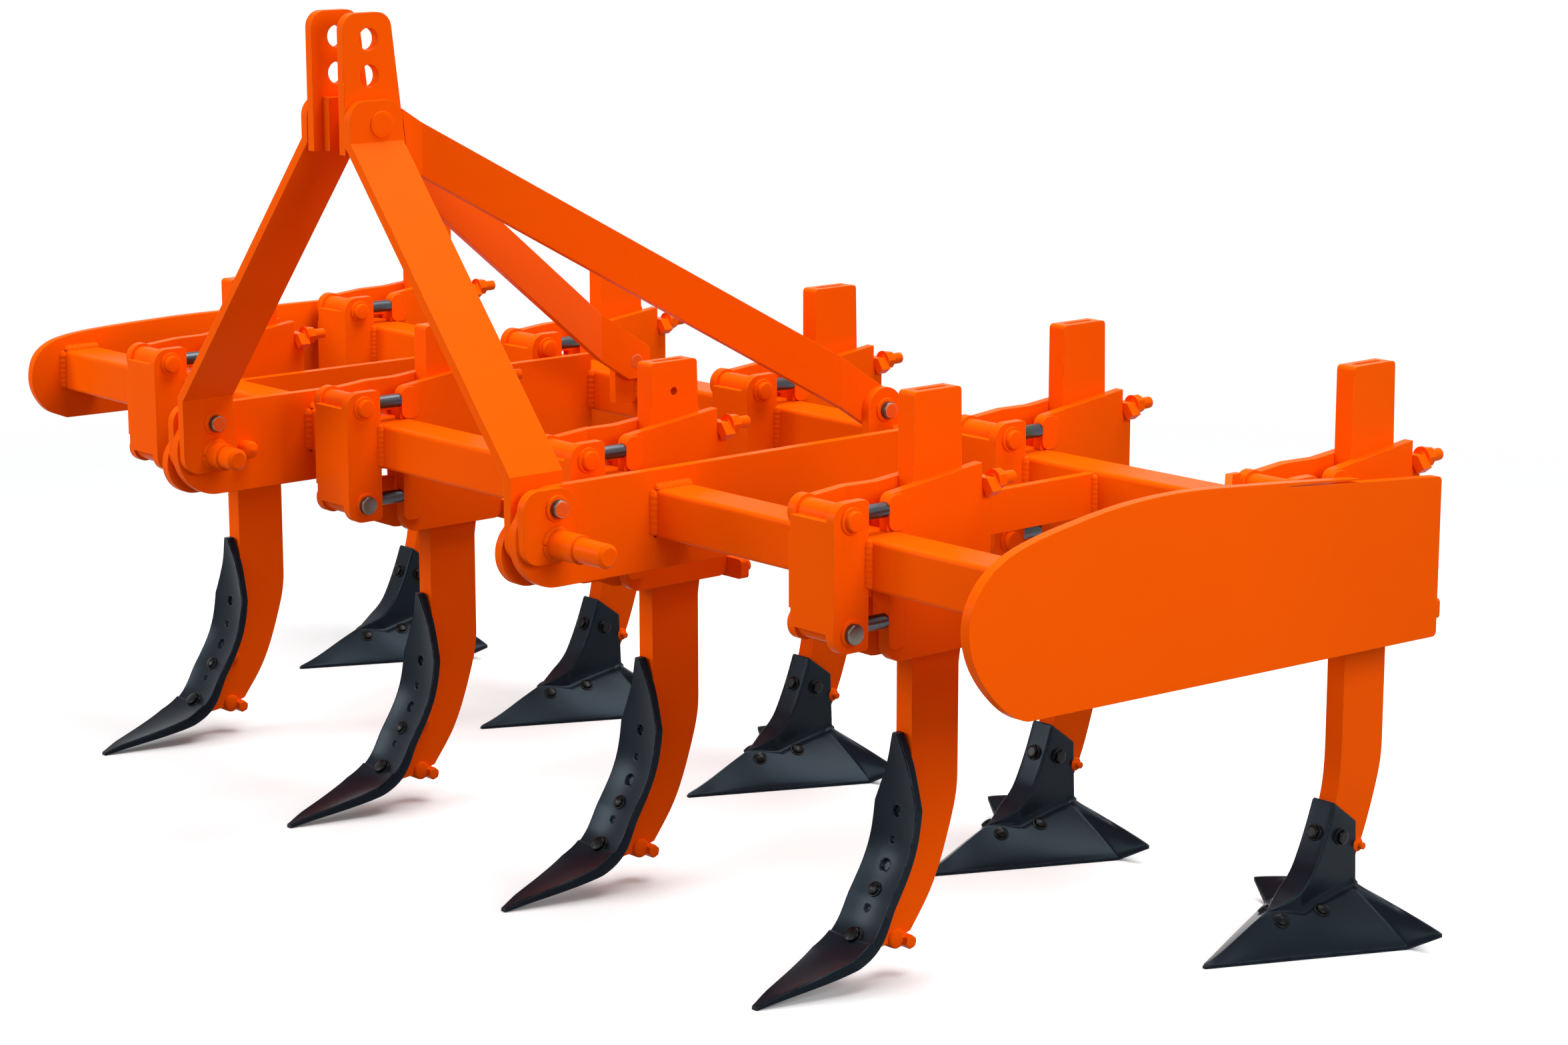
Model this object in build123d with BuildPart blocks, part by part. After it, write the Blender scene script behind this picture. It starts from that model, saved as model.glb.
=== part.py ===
import math
import os

from build123d import *

# Field cultivator with nine rigid tines in two rows.
# X runs along the beams, Y runs front to back, Z is up from the ground.
# X and Y are zero in the middle of its plan.

# Tine layout
tine_pitch = 225.0
row_gap = 457.0
front_row_y = -153.0
tine_thick = 25.0
shank_depth = 70.0
head_depth = 76.0
head_top_depth = 70.0
head_corner = 5.0
slot_length = 45.0
slot_width = 8.0
slot_deep = 12.0

# Frame
beam_size = 56.0
beam_wall = 6.0
beam_corner = 6.0
beam_top = 506.0
beam_ahead = 92.0
beam_clear = beam_ahead - beam_size
beam_front = front_row_y - beam_ahead
beam_back = beam_front + beam_size
beam_mid_z = beam_top - beam_size / 2
beam_bottom = beam_top - beam_size
end_margin = 58.0
end_plate_inner = 4 * tine_pitch + end_margin
end_plate_thick = 12.0
seat_gap = 0.2
spacer_bar_x = 2.667 * tine_pitch
spacer_bar_height = 50.0
spacer_bar_thick = 12.0

# Lower hitch, whose plates stand between the tines of both rows
plate_thick = 12.0
hitch_offset = 5.5
hitch_half = 1.5 * tine_pitch + hitch_offset
hitch_plate_top = beam_top + 22.0
hitch_plate_height = 115.0
hitch_plate_bottom = hitch_plate_top - hitch_plate_height
hitch_nose = front_row_y - 288.0
pin_radius = 14.0
pin_base_radius = 16.5
pin_bevel = 4.0
pin_beside_top = 62.0
pin_y = front_row_y - 240.0
pin_z = hitch_plate_top - pin_beside_top
foot_round = 22.0
cheek_gap = plate_thick + 2.0
cheek_rise = 26.0

# Headstock
bar_width = 73.0
leg_front = front_row_y - 285.0
leg_foot_bottom = pin_z - foot_round
leg_bend_rise = 12.0
mast_inner = 26.0
mast_top = 1033.0
mast_bottom = mast_top - 161.0
mast_front = front_row_y - 284.0
mast_top_depth = 65.0
mast_bottom_depth = 84.0
mast_corner = 19.0
link_hole = 13.0
link_hole_y = front_row_y - 249.0
link_hole_upper = mast_top - 30.0
link_hole_lower = mast_top - 72.0
sleeve_radius = 14.5
sleeve_y = front_row_y - 242.0
sleeve_z = mast_top - 127.0
lap_height = 62.0
spacer_plate_depth = 57.0

# Rear braces and the lugs that hold them on the rear beam
brace_thick = 11.0
brace_width = 53.0
brace_head_behind = 14.0
brace_head_z = mast_top - 155.0
brace_bend_behind = 24.0
brace_foot_x = hitch_half - 105.0
brace_foot_flat = 60.0
brace_past_bolt = 22.0
brace_foot_clear = 3.0
brace_corner = 8.0
lug_radius = 28.0
lug_overhang = 37.0
lug_rise = 26.0
lug_foot = 30.0

# Clamps, measured from the tine they hold
side_plate = 12.0
ear_outer = 42.0
ear_inner = 30.0
bracket_plate = 12.0
bolt_rise = 24.0
bolt_drop = 42.0
clamp_bolt_upper = beam_top + bolt_rise
clamp_bolt_lower = beam_bottom - bolt_drop
clamp_bolt_ahead = beam_ahead + 25.0
bracket_front = beam_ahead + 50.0
clamp_sleeve = 15.5
eye_radius = 19.0
arm_side = 33.5
arm_depth = 34.0
arm_straight = 26.0
arm_bend = 6.0
arm_above = 5.0
arm_below = 25.0
ear_above = 20.0
ear_below = 22.0
ear_round = 20.0
ear_back_round = 5.0
rod_radius = 8.3
rod_side = 21.0
lug_ahead = beam_clear + 14.0
lug_back = beam_clear - 13.0
lug_proud = 4.0
lug_upper_height = 40.0
lug_lower_height = 74.0
lug_round = 10.0
holder_top = beam_top + 40.0
holder_slope = 18.0
holder_round = 12.0
holder_foot_round = 22.0
block_bottom = beam_bottom - 60.0
block_top = beam_top - 8.0
holder_back = 105.0
holder_bottom = beam_bottom - 90.0
notch_ahead = 91.0
notch_z = beam_top + 29.0
stud_radius = 7.0
stud_end = 136.0
stud_side = 26.0
stud_in = 2.0
hook_thick = 12.0
hook_flat = 3.0
hook_lip = 8.0
hook_drop = 11.0
bar_height = 24.0
bar_round = 5.0
bar_rise = 10.0

front_tines = [
    dict(name="front_1", x=-3.0 * tine_pitch, head_top=beam_top + 122.0, cross_hole=False),
    dict(name="front_2", x=-1.0 * tine_pitch, head_top=beam_top + 111.0, cross_hole=False),
    dict(name="front_3", x=1.0 * tine_pitch, head_top=beam_top + 119.0, cross_hole=True),
    dict(name="front_4", x=3.0 * tine_pitch, head_top=beam_top + 144.0, cross_hole=False),
]
rear_tines = [
    dict(name="rear_1", x=-4.0 * tine_pitch, head_top=beam_top + 139.0, cross_hole=False),
    dict(name="rear_2", x=-2.0 * tine_pitch, head_top=beam_top + 139.0, cross_hole=False),
    dict(name="rear_3", x=0.0, head_top=beam_top + 139.0, cross_hole=False),
    dict(name="rear_4", x=2.0 * tine_pitch, head_top=beam_top + 144.0, cross_hole=False),
    dict(name="rear_5", x=4.0 * tine_pitch, head_top=beam_top + 150.0, cross_hole=False),
]
rows = [
    dict(name="front", y=front_row_y, tines=front_tines),
    dict(name="rear", y=front_row_y + row_gap, tines=rear_tines),
]

# Outlines of the end plates: places behind the front row, heights over the beams' top.
right_end_edge = [
    dict(y=-103.0, z=-146.0),
    dict(y=-150.0, z=-117.0),
    dict(y=-179.0, z=-78.0),
    dict(y=-187.0, z=-28.0),
    dict(y=-161.0, z=12.0),
    dict(y=-107.0, z=37.0),
    dict(y=-39.0, z=50.0),
    dict(y=31.0, z=59.0),
    dict(y=102.0, z=62.0),
    dict(y=201.0, z=57.0),
    dict(y=388.0, z=40.0),
    dict(y=545.0, z=24.0),
]
left_end_edge = [
    dict(y=-90.0, z=-96.0),
    dict(y=-120.0, z=-82.0),
    dict(y=-138.0, z=-58.0),
    dict(y=-143.0, z=-34.0),
    dict(y=-137.0, z=-8.0),
    dict(y=-120.0, z=9.0),
    dict(y=-92.0, z=19.0),
    dict(y=-39.0, z=25.0),
    dict(y=64.0, z=29.0),
    dict(y=157.0, z=30.0),
    dict(y=388.0, z=28.0),
    dict(y=545.0, z=24.0),
]
end_edge_corner = 6.0
# The left pin stands out less than the right one: its thick base, then its whole reach.
sides = [
    dict(name="left", sign=-1.0, edge=left_end_edge, edge_bottom=-104.0, pin_base=26.0, pin_end=53.0),
    dict(name="right", sign=1.0, edge=right_end_edge, edge_bottom=-160.0, pin_base=45.0, pin_end=94.0),
]

os.makedirs("parts", exist_ok=True)


def save(part, label):
    part.label = label
    export_step(part, f"parts/{label}.step")


def near(sketch, places):
    # The corners of a sketch that lie closest to the given places.
    return [min(sketch.vertices(), key=lambda v: (v.X - a) ** 2 + (v.Y - b) ** 2) for a, b in places]


def bar_outline(path, thick):
    # Both edges of a bent flat bar whose middle line is the path, mitred at the bends.
    left = []
    right = []
    last = len(path) - 1
    for i, (a, b) in enumerate(path):
        before = path[max(i - 1, 0)]
        after = path[min(i + 1, last)]
        if i == 0:
            before = (2 * a - after[0], 2 * b - after[1])
        if i == last:
            after = (2 * a - before[0], 2 * b - before[1])
        d1 = Vector(a - before[0], b - before[1]).normalized()
        d2 = Vector(after[0] - a, after[1] - b).normalized()
        n1 = Vector(-d1.Y, d1.X)
        n2 = Vector(-d2.Y, d2.X)
        mitre = (n1 + n2).normalized()
        reach = 0.5 * thick / mitre.dot(n1)
        left.append((a + mitre.X * reach, b + mitre.Y * reach))
        right.append((a - mitre.X * reach, b - mitre.Y * reach))
    return left + right[::-1]


# Beams

for row in rows:
    with BuildPart() as beam:
        with BuildSketch(Plane.YZ.offset(-end_plate_inner + seat_gap)):
            with Locations((row["y"] - beam_ahead + beam_size / 2, beam_mid_z)):
                RectangleRounded(beam_size, beam_size, beam_corner)
                RectangleRounded(
                    beam_size - 2 * beam_wall, beam_size - 2 * beam_wall, beam_corner / 3, mode=Mode.SUBTRACT
                )
        extrude(amount=2 * (end_plate_inner - seat_gap))
    save(beam.part, f"{row['name']}_beam")

# End plates, with a humped top edge that runs into a round nose

for side in sides:
    start = end_plate_inner if side["sign"] > 0 else -end_plate_inner - end_plate_thick
    edge = [(front_row_y + p["y"], beam_top + p["z"]) for p in side["edge"]]
    back_corner = (edge[-1][0], beam_top + side["edge_bottom"])
    with BuildPart() as end_plate:
        with BuildSketch(Plane.YZ.offset(start)) as plate_sketch:
            with BuildLine():
                Spline(edge, tangents=[(-1, 0.25), (1, -0.08)])
                Polyline(edge[-1], back_corner, edge[0])
            make_face()
            fillet(near(plate_sketch, [edge[-1], back_corner]), radius=end_edge_corner)
        extrude(amount=end_plate_thick)
    save(end_plate.part, f"end_plate_{side['name']}")

# Lower hitch: long plates threaded by the front beam, each with a round pad outside

nose_radius = hitch_plate_height / 2
nose_y = hitch_nose + nose_radius
nose_z = hitch_plate_bottom + nose_radius
pad_mid_y = leg_front + bar_width / 2
for side in sides:
    s = side["sign"]
    long_back = beam_front + row_gap - seat_gap
    start = hitch_half if s > 0 else -hitch_half - plate_thick
    with BuildPart() as hitch_plate:
        with BuildSketch(Plane.YZ.offset(start)):
            with Locations(((nose_y + long_back) / 2, nose_z)):
                Rectangle(long_back - nose_y, 2 * nose_radius)
            with Locations((nose_y, nose_z)):
                Circle(nose_radius)
            with Locations((beam_front + beam_size / 2, beam_mid_z)):
                Rectangle(beam_size + 2 * seat_gap, beam_size + 2 * seat_gap, mode=Mode.SUBTRACT)
        extrude(amount=plate_thick)
        with BuildSketch(Plane.YZ.offset(start + s * plate_thick)):
            with Locations((pad_mid_y, (hitch_plate_top + leg_foot_bottom) / 2)):
                RectangleRounded(bar_width, hitch_plate_top - leg_foot_bottom, foot_round)
        extrude(amount=plate_thick)
        with BuildSketch(Plane.YZ.offset(start - plate_thick)):
            with Locations((pin_y, pin_z)):
                Circle(pin_base_radius + seat_gap)
        extrude(amount=3 * plate_thick, mode=Mode.SUBTRACT)
    save(hitch_plate.part, f"hitch_plate_{side['name']}")

    # Short plate on the left of each pair, with its own round nose
    cheek_face = hitch_half - cheek_gap if s > 0 else -hitch_half - 2 * plate_thick - seat_gap
    cheek_top = pin_z + cheek_rise
    cheek_radius = (cheek_top - hitch_plate_bottom) / 2
    cheek_nose = hitch_nose + cheek_radius
    cheek_back = beam_front - seat_gap
    with BuildPart() as cheek:
        with BuildSketch(Plane.YZ.offset(cheek_face)):
            with Locations(((cheek_nose + cheek_back) / 2, hitch_plate_bottom + cheek_radius)):
                Rectangle(cheek_back - cheek_nose, 2 * cheek_radius)
            with Locations((cheek_nose, hitch_plate_bottom + cheek_radius)):
                Circle(cheek_radius)
            with Locations((pin_y, pin_z)):
                Circle(pin_base_radius + seat_gap, mode=Mode.SUBTRACT)
        extrude(amount=-plate_thick)
    save(cheek.part, f"hitch_cheek_{side['name']}")

    # Stepped pin with a bevelled end, both pins pointing to the right
    pin_start = cheek_face - plate_thick
    pin_seat = hitch_half + 2 * plate_thick if s > 0 else -hitch_half + plate_thick
    with BuildPart() as hitch_pin:
        with BuildSketch(Plane.YZ.offset(pin_start)):
            with Locations((pin_y, pin_z)):
                Circle(pin_base_radius)
        extrude(amount=pin_seat + side["pin_base"] - pin_start)
        with BuildSketch(Plane.YZ.offset(pin_seat + side["pin_base"])):
            with Locations((pin_y, pin_z)):
                Circle(pin_radius)
        extrude(amount=side["pin_end"] - side["pin_base"])
        rims = hitch_pin.edges().filter_by(GeomType.CIRCLE).sort_by(Axis.X)
        chamfer(rims[-1], length=pin_bevel)
    save(hitch_pin.part, f"hitch_pin_{side['name']}")

# Headstock

foot_x = hitch_half - plate_thick / 2
lap_x = mast_inner + 1.5 * plate_thick + seat_gap
leg_path = [
    (foot_x, leg_foot_bottom),
    (foot_x, hitch_plate_top + leg_bend_rise),
    (lap_x, mast_bottom + leg_bend_rise),
    (lap_x, mast_bottom + lap_height),
]
for side in sides:
    s = side["sign"]
    with BuildPart() as leg:
        with BuildSketch(Plane.XZ.offset(-leg_front)):
            with BuildLine():
                leg_edges = bar_outline(leg_path, plate_thick - 2 * seat_gap)
                Polyline([(s * a, b) for a, b in leg_edges], close=True)
            make_face()
        extrude(amount=-bar_width)
        with BuildSketch(Plane.YZ.offset(-hitch_half - plate_thick)):
            leg_height = mast_bottom + lap_height - leg_foot_bottom
            with Locations((pad_mid_y, leg_foot_bottom + leg_height / 2)):
                RectangleRounded(bar_width, leg_height, foot_round)
            with Locations((pin_y, pin_z)):
                Circle(pin_base_radius + seat_gap, mode=Mode.SUBTRACT)
        extrude(amount=2 * (hitch_half + plate_thick), mode=Mode.INTERSECT)
    save(leg.part, f"headstock_leg_{side['name']}")

    start = mast_inner if s > 0 else -mast_inner - plate_thick
    mast_outline = [
        (mast_front, mast_bottom),
        (mast_front + mast_bottom_depth, mast_bottom),
        (mast_front + mast_top_depth, mast_top),
        (mast_front, mast_top),
    ]
    with BuildPart() as mast:
        with BuildSketch(Plane.YZ.offset(start)) as mast_sketch:
            with BuildLine():
                Polyline(mast_outline, close=True)
            make_face()
            fillet(near(mast_sketch, mast_outline[2:]), radius=mast_corner)
            with Locations((link_hole_y, link_hole_upper), (link_hole_y, link_hole_lower)):
                Circle(link_hole, mode=Mode.SUBTRACT)
        extrude(amount=plate_thick)
    save(mast.part, f"mast_plate_{side['name']}")

# Sleeve between the mast plates, with a small plate on each end
with BuildPart() as spacer:
    with BuildSketch(Plane.YZ.offset(-mast_inner + seat_gap)):
        with Locations((sleeve_y, sleeve_z)):
            Circle(sleeve_radius)
    extrude(amount=2 * (mast_inner - seat_gap))
    left_end = Plane.YZ.offset(-mast_inner + seat_gap)
    right_end = Plane.YZ.offset(mast_inner - seat_gap - plate_thick)
    with BuildSketch(left_end, right_end):
        with Locations((sleeve_y, mast_bottom + lap_height / 2)):
            Rectangle(spacer_plate_depth, lap_height)
    extrude(amount=plate_thick)
save(spacer.part, "mast_spacer")

# Rear braces from the back of the mast down to lugs on the rear beam


def mast_back(z):
    # Back edge of the mast plates at a height.
    lean = (mast_top_depth - mast_bottom_depth) / (mast_top - mast_bottom)
    return mast_front + mast_bottom_depth + lean * (z - mast_bottom)


lug_mid_y = beam_front + row_gap - lug_overhang + lug_radius
lug_mid_z = beam_top + lug_rise
mast_mid = mast_inner + plate_thick / 2
brace_head_y = mast_back(mast_bottom) + brace_head_behind
brace_drop = (brace_head_z - lug_mid_z) / (lug_mid_y - brace_head_y)
brace_half = brace_width / 2 * math.sqrt(1 + brace_drop**2)
brace_foot_bottom = beam_top + brace_foot_clear


def brace_edge(y, side_of_middle):
    # Height of a brace's upper edge for +1, its lower edge for -1.
    return lug_mid_z + brace_drop * (lug_mid_y - y) + side_of_middle * brace_half


brace_end_y = lug_mid_y + brace_past_bolt
brace_cut_y = lug_mid_y + (lug_mid_z - brace_half - brace_foot_bottom) / brace_drop
head_high_y = mast_back(brace_edge(brace_head_y, 1)) + seat_gap
head_low_y = mast_back(brace_edge(brace_head_y, -1)) + seat_gap
brace_outline = [
    (head_high_y, brace_edge(head_high_y, 1)),
    (brace_end_y, brace_edge(brace_end_y, 1)),
    (brace_end_y, brace_foot_bottom),
    (brace_cut_y, brace_foot_bottom),
    (head_low_y, brace_edge(head_low_y, -1)),
]
for side in sides:
    s = side["sign"]
    plan = [
        (s * mast_mid, mast_back(mast_top)),
        (s * mast_mid, mast_back(mast_bottom) + brace_bend_behind),
        (s * brace_foot_x, lug_mid_y - brace_foot_flat),
        (s * brace_foot_x, brace_end_y + brace_corner),
    ]
    with BuildPart() as brace:
        with BuildSketch(Plane.XY.offset(beam_top)):
            with BuildLine():
                Polyline(bar_outline(plan, brace_thick), close=True)
            make_face()
        extrude(amount=mast_top - beam_top)
        with BuildSketch(Plane.YZ.offset(-hitch_half)) as brace_sketch:
            with BuildLine():
                Polyline(brace_outline, close=True)
            make_face()
            fillet(near(brace_sketch, brace_outline[1:3]), radius=brace_corner)
        extrude(amount=2 * hitch_half, mode=Mode.INTERSECT)
    save(brace.part, f"rear_brace_{side['name']}")

    # Round-headed lug that sits over the front corner of the rear beam
    lug_face = brace_foot_x + brace_thick / 2 + seat_gap
    lug_start = lug_face if s > 0 else -lug_face - plate_thick
    lug_bottom = beam_top - lug_foot
    with BuildPart() as lug:
        with BuildSketch(Plane.YZ.offset(lug_start)):
            with Locations((lug_mid_y, lug_mid_z)):
                Circle(lug_radius)
            with Locations((lug_mid_y, (lug_mid_z + lug_bottom) / 2)):
                Rectangle(2 * lug_radius, lug_mid_z - lug_bottom)
            with Locations((beam_front + row_gap + beam_size / 2, beam_mid_z)):
                Rectangle(beam_size + 2 * seat_gap, beam_size + 2 * seat_gap, mode=Mode.SUBTRACT)
        extrude(amount=plate_thick)
    save(lug.part, f"brace_lug_{side['name']}")

# Spacer bars between the beams

with BuildPart() as spacer_bars:
    for side in sides:
        with BuildSketch(Plane.YZ.offset(side["sign"] * spacer_bar_x - spacer_bar_thick / 2)):
            with Locations(((beam_back + row_gap + beam_front) / 2, beam_mid_z)):
                Rectangle(row_gap - beam_size - 2 * seat_gap, spacer_bar_height)
        extrude(amount=spacer_bar_thick)
save(spacer_bars.part, "spacer_bars")

# Tines: a straight head in the clamp, a shank below it and a foot curved forward

foot_start_z = 225.0
# Front edge of the foot: distance ahead of the head's front face, height.
foot_front = [
    dict(ahead=82.0, z=32.0),
    dict(ahead=40.0, z=88.0),
    dict(ahead=10.0, z=148.0),
    dict(ahead=0.0, z=foot_start_z),
]
# Rear edge of the foot, from the shank down to its underside.
foot_back = [
    dict(behind=shank_depth, z=foot_start_z - 10.0),
    dict(behind=shank_depth - 12.0, z=155.0),
    dict(behind=28.0, z=84.0),
    dict(behind=0.0, z=46.0),
]
foot_under_ahead = 30.0
foot_under_z = 38.0
head_step_z = beam_bottom - 70.0
shank_step_z = beam_bottom - 110.0
cross_hole_radius = 5.0


def foot_curve(y0, shift=0.0):
    # Curved front edge of a tine's foot, moved ahead by the shift.
    return Spline(
        [(y0 - p["ahead"] - shift, p["z"]) for p in foot_front],
        tangents=[(0.6, 0.8), (0, 1)],
    )


for row in rows:
    y0 = row["y"]
    for tine in row["tines"]:
        top = tine["head_top"]
        head_corners = [(y0, top), (y0 + head_top_depth, top)]
        with BuildPart() as shank:
            with BuildSketch(Plane.YZ.offset(tine["x"] - tine_thick / 2)) as shank_sketch:
                with BuildLine():
                    foot_curve(y0)
                    Polyline(
                        (y0, foot_start_z),
                        (y0, top),
                        (y0 + head_top_depth, top),
                        (y0 + head_depth, head_step_z),
                        (y0 + shank_depth, shank_step_z),
                        (y0 + shank_depth, foot_start_z - 10.0),
                    )
                    Spline(
                        [(y0 + p["behind"], p["z"]) for p in foot_back],
                        tangents=[(0, -1), (-0.6, -0.8)],
                    )
                    Polyline(
                        (y0, foot_back[-1]["z"]),
                        (y0 - foot_under_ahead, foot_under_z),
                        (y0 - foot_front[0]["ahead"], foot_front[0]["z"]),
                    )
                make_face()
                fillet(near(shank_sketch, head_corners), radius=head_corner)
            extrude(amount=tine_thick)
            with BuildSketch(Plane.XY.offset(top)):
                with Locations((tine["x"], y0 + head_top_depth / 2)):
                    SlotOverall(slot_length, slot_width, rotation=90)
            extrude(amount=-slot_deep, mode=Mode.SUBTRACT)
            if tine["cross_hole"]:
                with BuildSketch(Plane.YZ.offset(tine["x"] - tine_thick / 2)):
                    with Locations((y0 + head_top_depth / 2, top - 3 * slot_deep)):
                        Circle(cross_hole_radius)
                extrude(amount=tine_thick, mode=Mode.SUBTRACT)
        save(shank.part, f"tine_{tine['name']}")

# Shovels on the front tines, curved plates pointed at both ends

shovel_half = 34.0
shovel_thick = 10.0
shovel_seat = 0.3
shovel_tip_ahead = 217.0
shovel_top = 272.0
shovel_top_lean = 4.0
shovel_taper = 82.0
shovel_point_half = 4.0
shovel_shoulder_ahead = 105.0
trim = 1.0
# Front face of the shovel between its straight top and its flat point.
shovel_face = [
    dict(ahead=shovel_seat + shovel_thick, z=foot_start_z),
    dict(ahead=20.0, z=150.0),
    dict(ahead=49.0, z=95.0),
    dict(ahead=92.0, z=42.0),
]
for tine in front_tines:
    y0 = front_row_y
    x0 = tine["x"]
    with BuildPart() as shovel:
        with BuildSketch(Plane.YZ.offset(x0 - shovel_half)):
            with BuildLine():
                foot_curve(y0, shovel_seat)
                Polyline(
                    (y0 - shovel_seat, foot_start_z),
                    (y0 - shovel_top_lean, shovel_top),
                    (y0 - shovel_top_lean - shovel_thick, shovel_top),
                    (y0 - shovel_seat - shovel_thick, foot_start_z),
                )
                Spline(
                    [(y0 - p["ahead"], p["z"]) for p in shovel_face],
                    tangents=[(0, -1), (-0.65, -0.75)],
                )
                Polyline(
                    (y0 - shovel_face[-1]["ahead"], shovel_face[-1]["z"]),
                    (y0 - shovel_tip_ahead, shovel_point_half),
                    (y0 - shovel_tip_ahead, 0),
                    (y0 - foot_front[0]["ahead"] - shovel_seat, foot_front[0]["z"]),
                )
            make_face()
        extrude(amount=2 * shovel_half)
        # Both ends narrow in straight lines, the top seen from ahead and the point from above.
        with BuildSketch(Plane.XZ.offset(-y0)):
            for s in (-1, 1):
                with BuildLine():
                    Polyline(
                        (x0 + s * shovel_point_half, shovel_top + trim),
                        (x0 + s * (shovel_half + trim), shovel_top - shovel_taper),
                        (x0 + s * (shovel_half + trim), shovel_top + trim),
                        close=True,
                    )
                make_face()
        extrude(amount=shovel_tip_ahead, mode=Mode.SUBTRACT)
        with BuildSketch(Plane.XY):
            for s in (-1, 1):
                with BuildLine():
                    Polyline(
                        (x0 + s * shovel_point_half, y0 - shovel_tip_ahead - trim),
                        (x0 + s * (shovel_half + trim), y0 - shovel_shoulder_ahead),
                        (x0 + s * (shovel_half + trim), y0 - shovel_tip_ahead - trim),
                        close=True,
                    )
                make_face()
        extrude(amount=foot_start_z / 3, mode=Mode.SUBTRACT)
    save(shovel.part, f"shovel_{tine['name']}")

# Sweeps on the rear tines: a ridged vee of two wings with a neck that holds the shank

sweep_tip_ahead = 209.0
sweep_half = 145.0
shoulder_back = 222.0
shoulder_half = sweep_half - 39.0
tip_half = 2.0
heel_rise = 22.0
neck_half = 16.5
ridge_depth = 9.1
rim_depth = 4.2
wing_trim = 10.0
# Places behind the tip and the height of the ridge there, from the tip to the heels.
sweep_sections = [
    dict(behind=0.0, ridge=5.0),
    dict(behind=119.0, ridge=47.0),
    dict(behind=150.0, ridge=70.0),
    dict(behind=shoulder_back, ridge=68.0),
    dict(behind=shoulder_back + 20.0, ridge=56.0),
]
wing_back = sweep_sections[-1]["behind"]
heel_back = wing_back - 2.0
waist_back = wing_back - 9.0
# Side view of the neck, measured from the head's front face.
neck_front = [
    dict(y=-90.0, z=48.0),
    dict(y=-72.0, z=69.0),
    dict(y=-53.0, z=97.0),
    dict(y=-29.0, z=131.0),
    dict(y=-14.0, z=158.0),
]
neck_back = [
    dict(y=-14.0, z=158.0),
    dict(y=24.0, z=130.0),
    dict(y=8.0, z=86.0),
    dict(y=14.0, z=52.0),
    dict(y=-20.0, z=46.0),
    dict(y=-80.0, z=42.0),
    dict(y=-90.0, z=48.0),
]
for tine in rear_tines:
    y0 = front_row_y + row_gap
    x0 = tine["x"]
    tip_y = y0 - sweep_tip_ahead
    with BuildPart() as sweep_share:
        for section in sweep_sections:
            behind = section["behind"]
            ridge = section["ridge"]
            half = tip_half + (shoulder_half - tip_half) * behind / shoulder_back
            low = 0.0
            if behind > shoulder_back:
                half = sweep_half
                low = heel_rise
            drop = min(ridge_depth, ridge - 1.0)
            rim = min(rim_depth, ridge - 1.5)
            with BuildSketch(Plane.XZ.offset(-(tip_y + behind))):
                with BuildLine():
                    Polyline(
                        (x0 - half, low),
                        (x0 - half, low + rim),
                        (x0, ridge),
                        (x0 + half, low + rim),
                        (x0 + half, low),
                        (x0, ridge - drop),
                        close=True,
                    )
                make_face()
        loft(ruled=True)
        # The rear edge runs forward from each heel to the neck.
        with BuildSketch(Plane.XY):
            for s in (-1, 1):
                with BuildLine():
                    Polyline(
                        (x0 + s * neck_half, tip_y + waist_back),
                        (x0 + s * sweep_half, tip_y + heel_back),
                        (x0 + s * (sweep_half + wing_trim), tip_y + heel_back),
                        (x0 + s * (sweep_half + wing_trim), tip_y + wing_back + wing_trim),
                        (x0, tip_y + wing_back + wing_trim),
                        (x0, tip_y + waist_back),
                        close=True,
                    )
                make_face()
        extrude(amount=foot_start_z / 2, mode=Mode.SUBTRACT)
        with BuildSketch(Plane.YZ.offset(x0 - neck_half)):
            with BuildLine():
                Spline([(y0 + p["y"], p["z"]) for p in neck_front])
                Polyline([(y0 + p["y"], p["z"]) for p in neck_back])
            make_face()
        extrude(amount=2 * neck_half)
        # Room for the tine's foot inside the neck
        with BuildSketch(Plane.YZ.offset(x0 - tine_thick / 2 - seat_gap)):
            with BuildLine():
                foot_curve(y0, seat_gap)
                Polyline(
                    (y0 - seat_gap, foot_start_z),
                    (y0 + holder_back, foot_start_z),
                    (y0 + holder_back, foot_front[0]["z"] / 3),
                    (y0 - foot_front[0]["ahead"], foot_front[0]["z"] / 3),
                    (y0 - foot_front[0]["ahead"] - seat_gap, foot_front[0]["z"]),
                )
            make_face()
        extrude(amount=tine_thick + 2 * seat_gap, mode=Mode.SUBTRACT)
    save(sweep_share.part, f"sweep_{tine['name']}")

# Tine holders: a right plate, a left plate with two arms past the beam, and a block between

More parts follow.
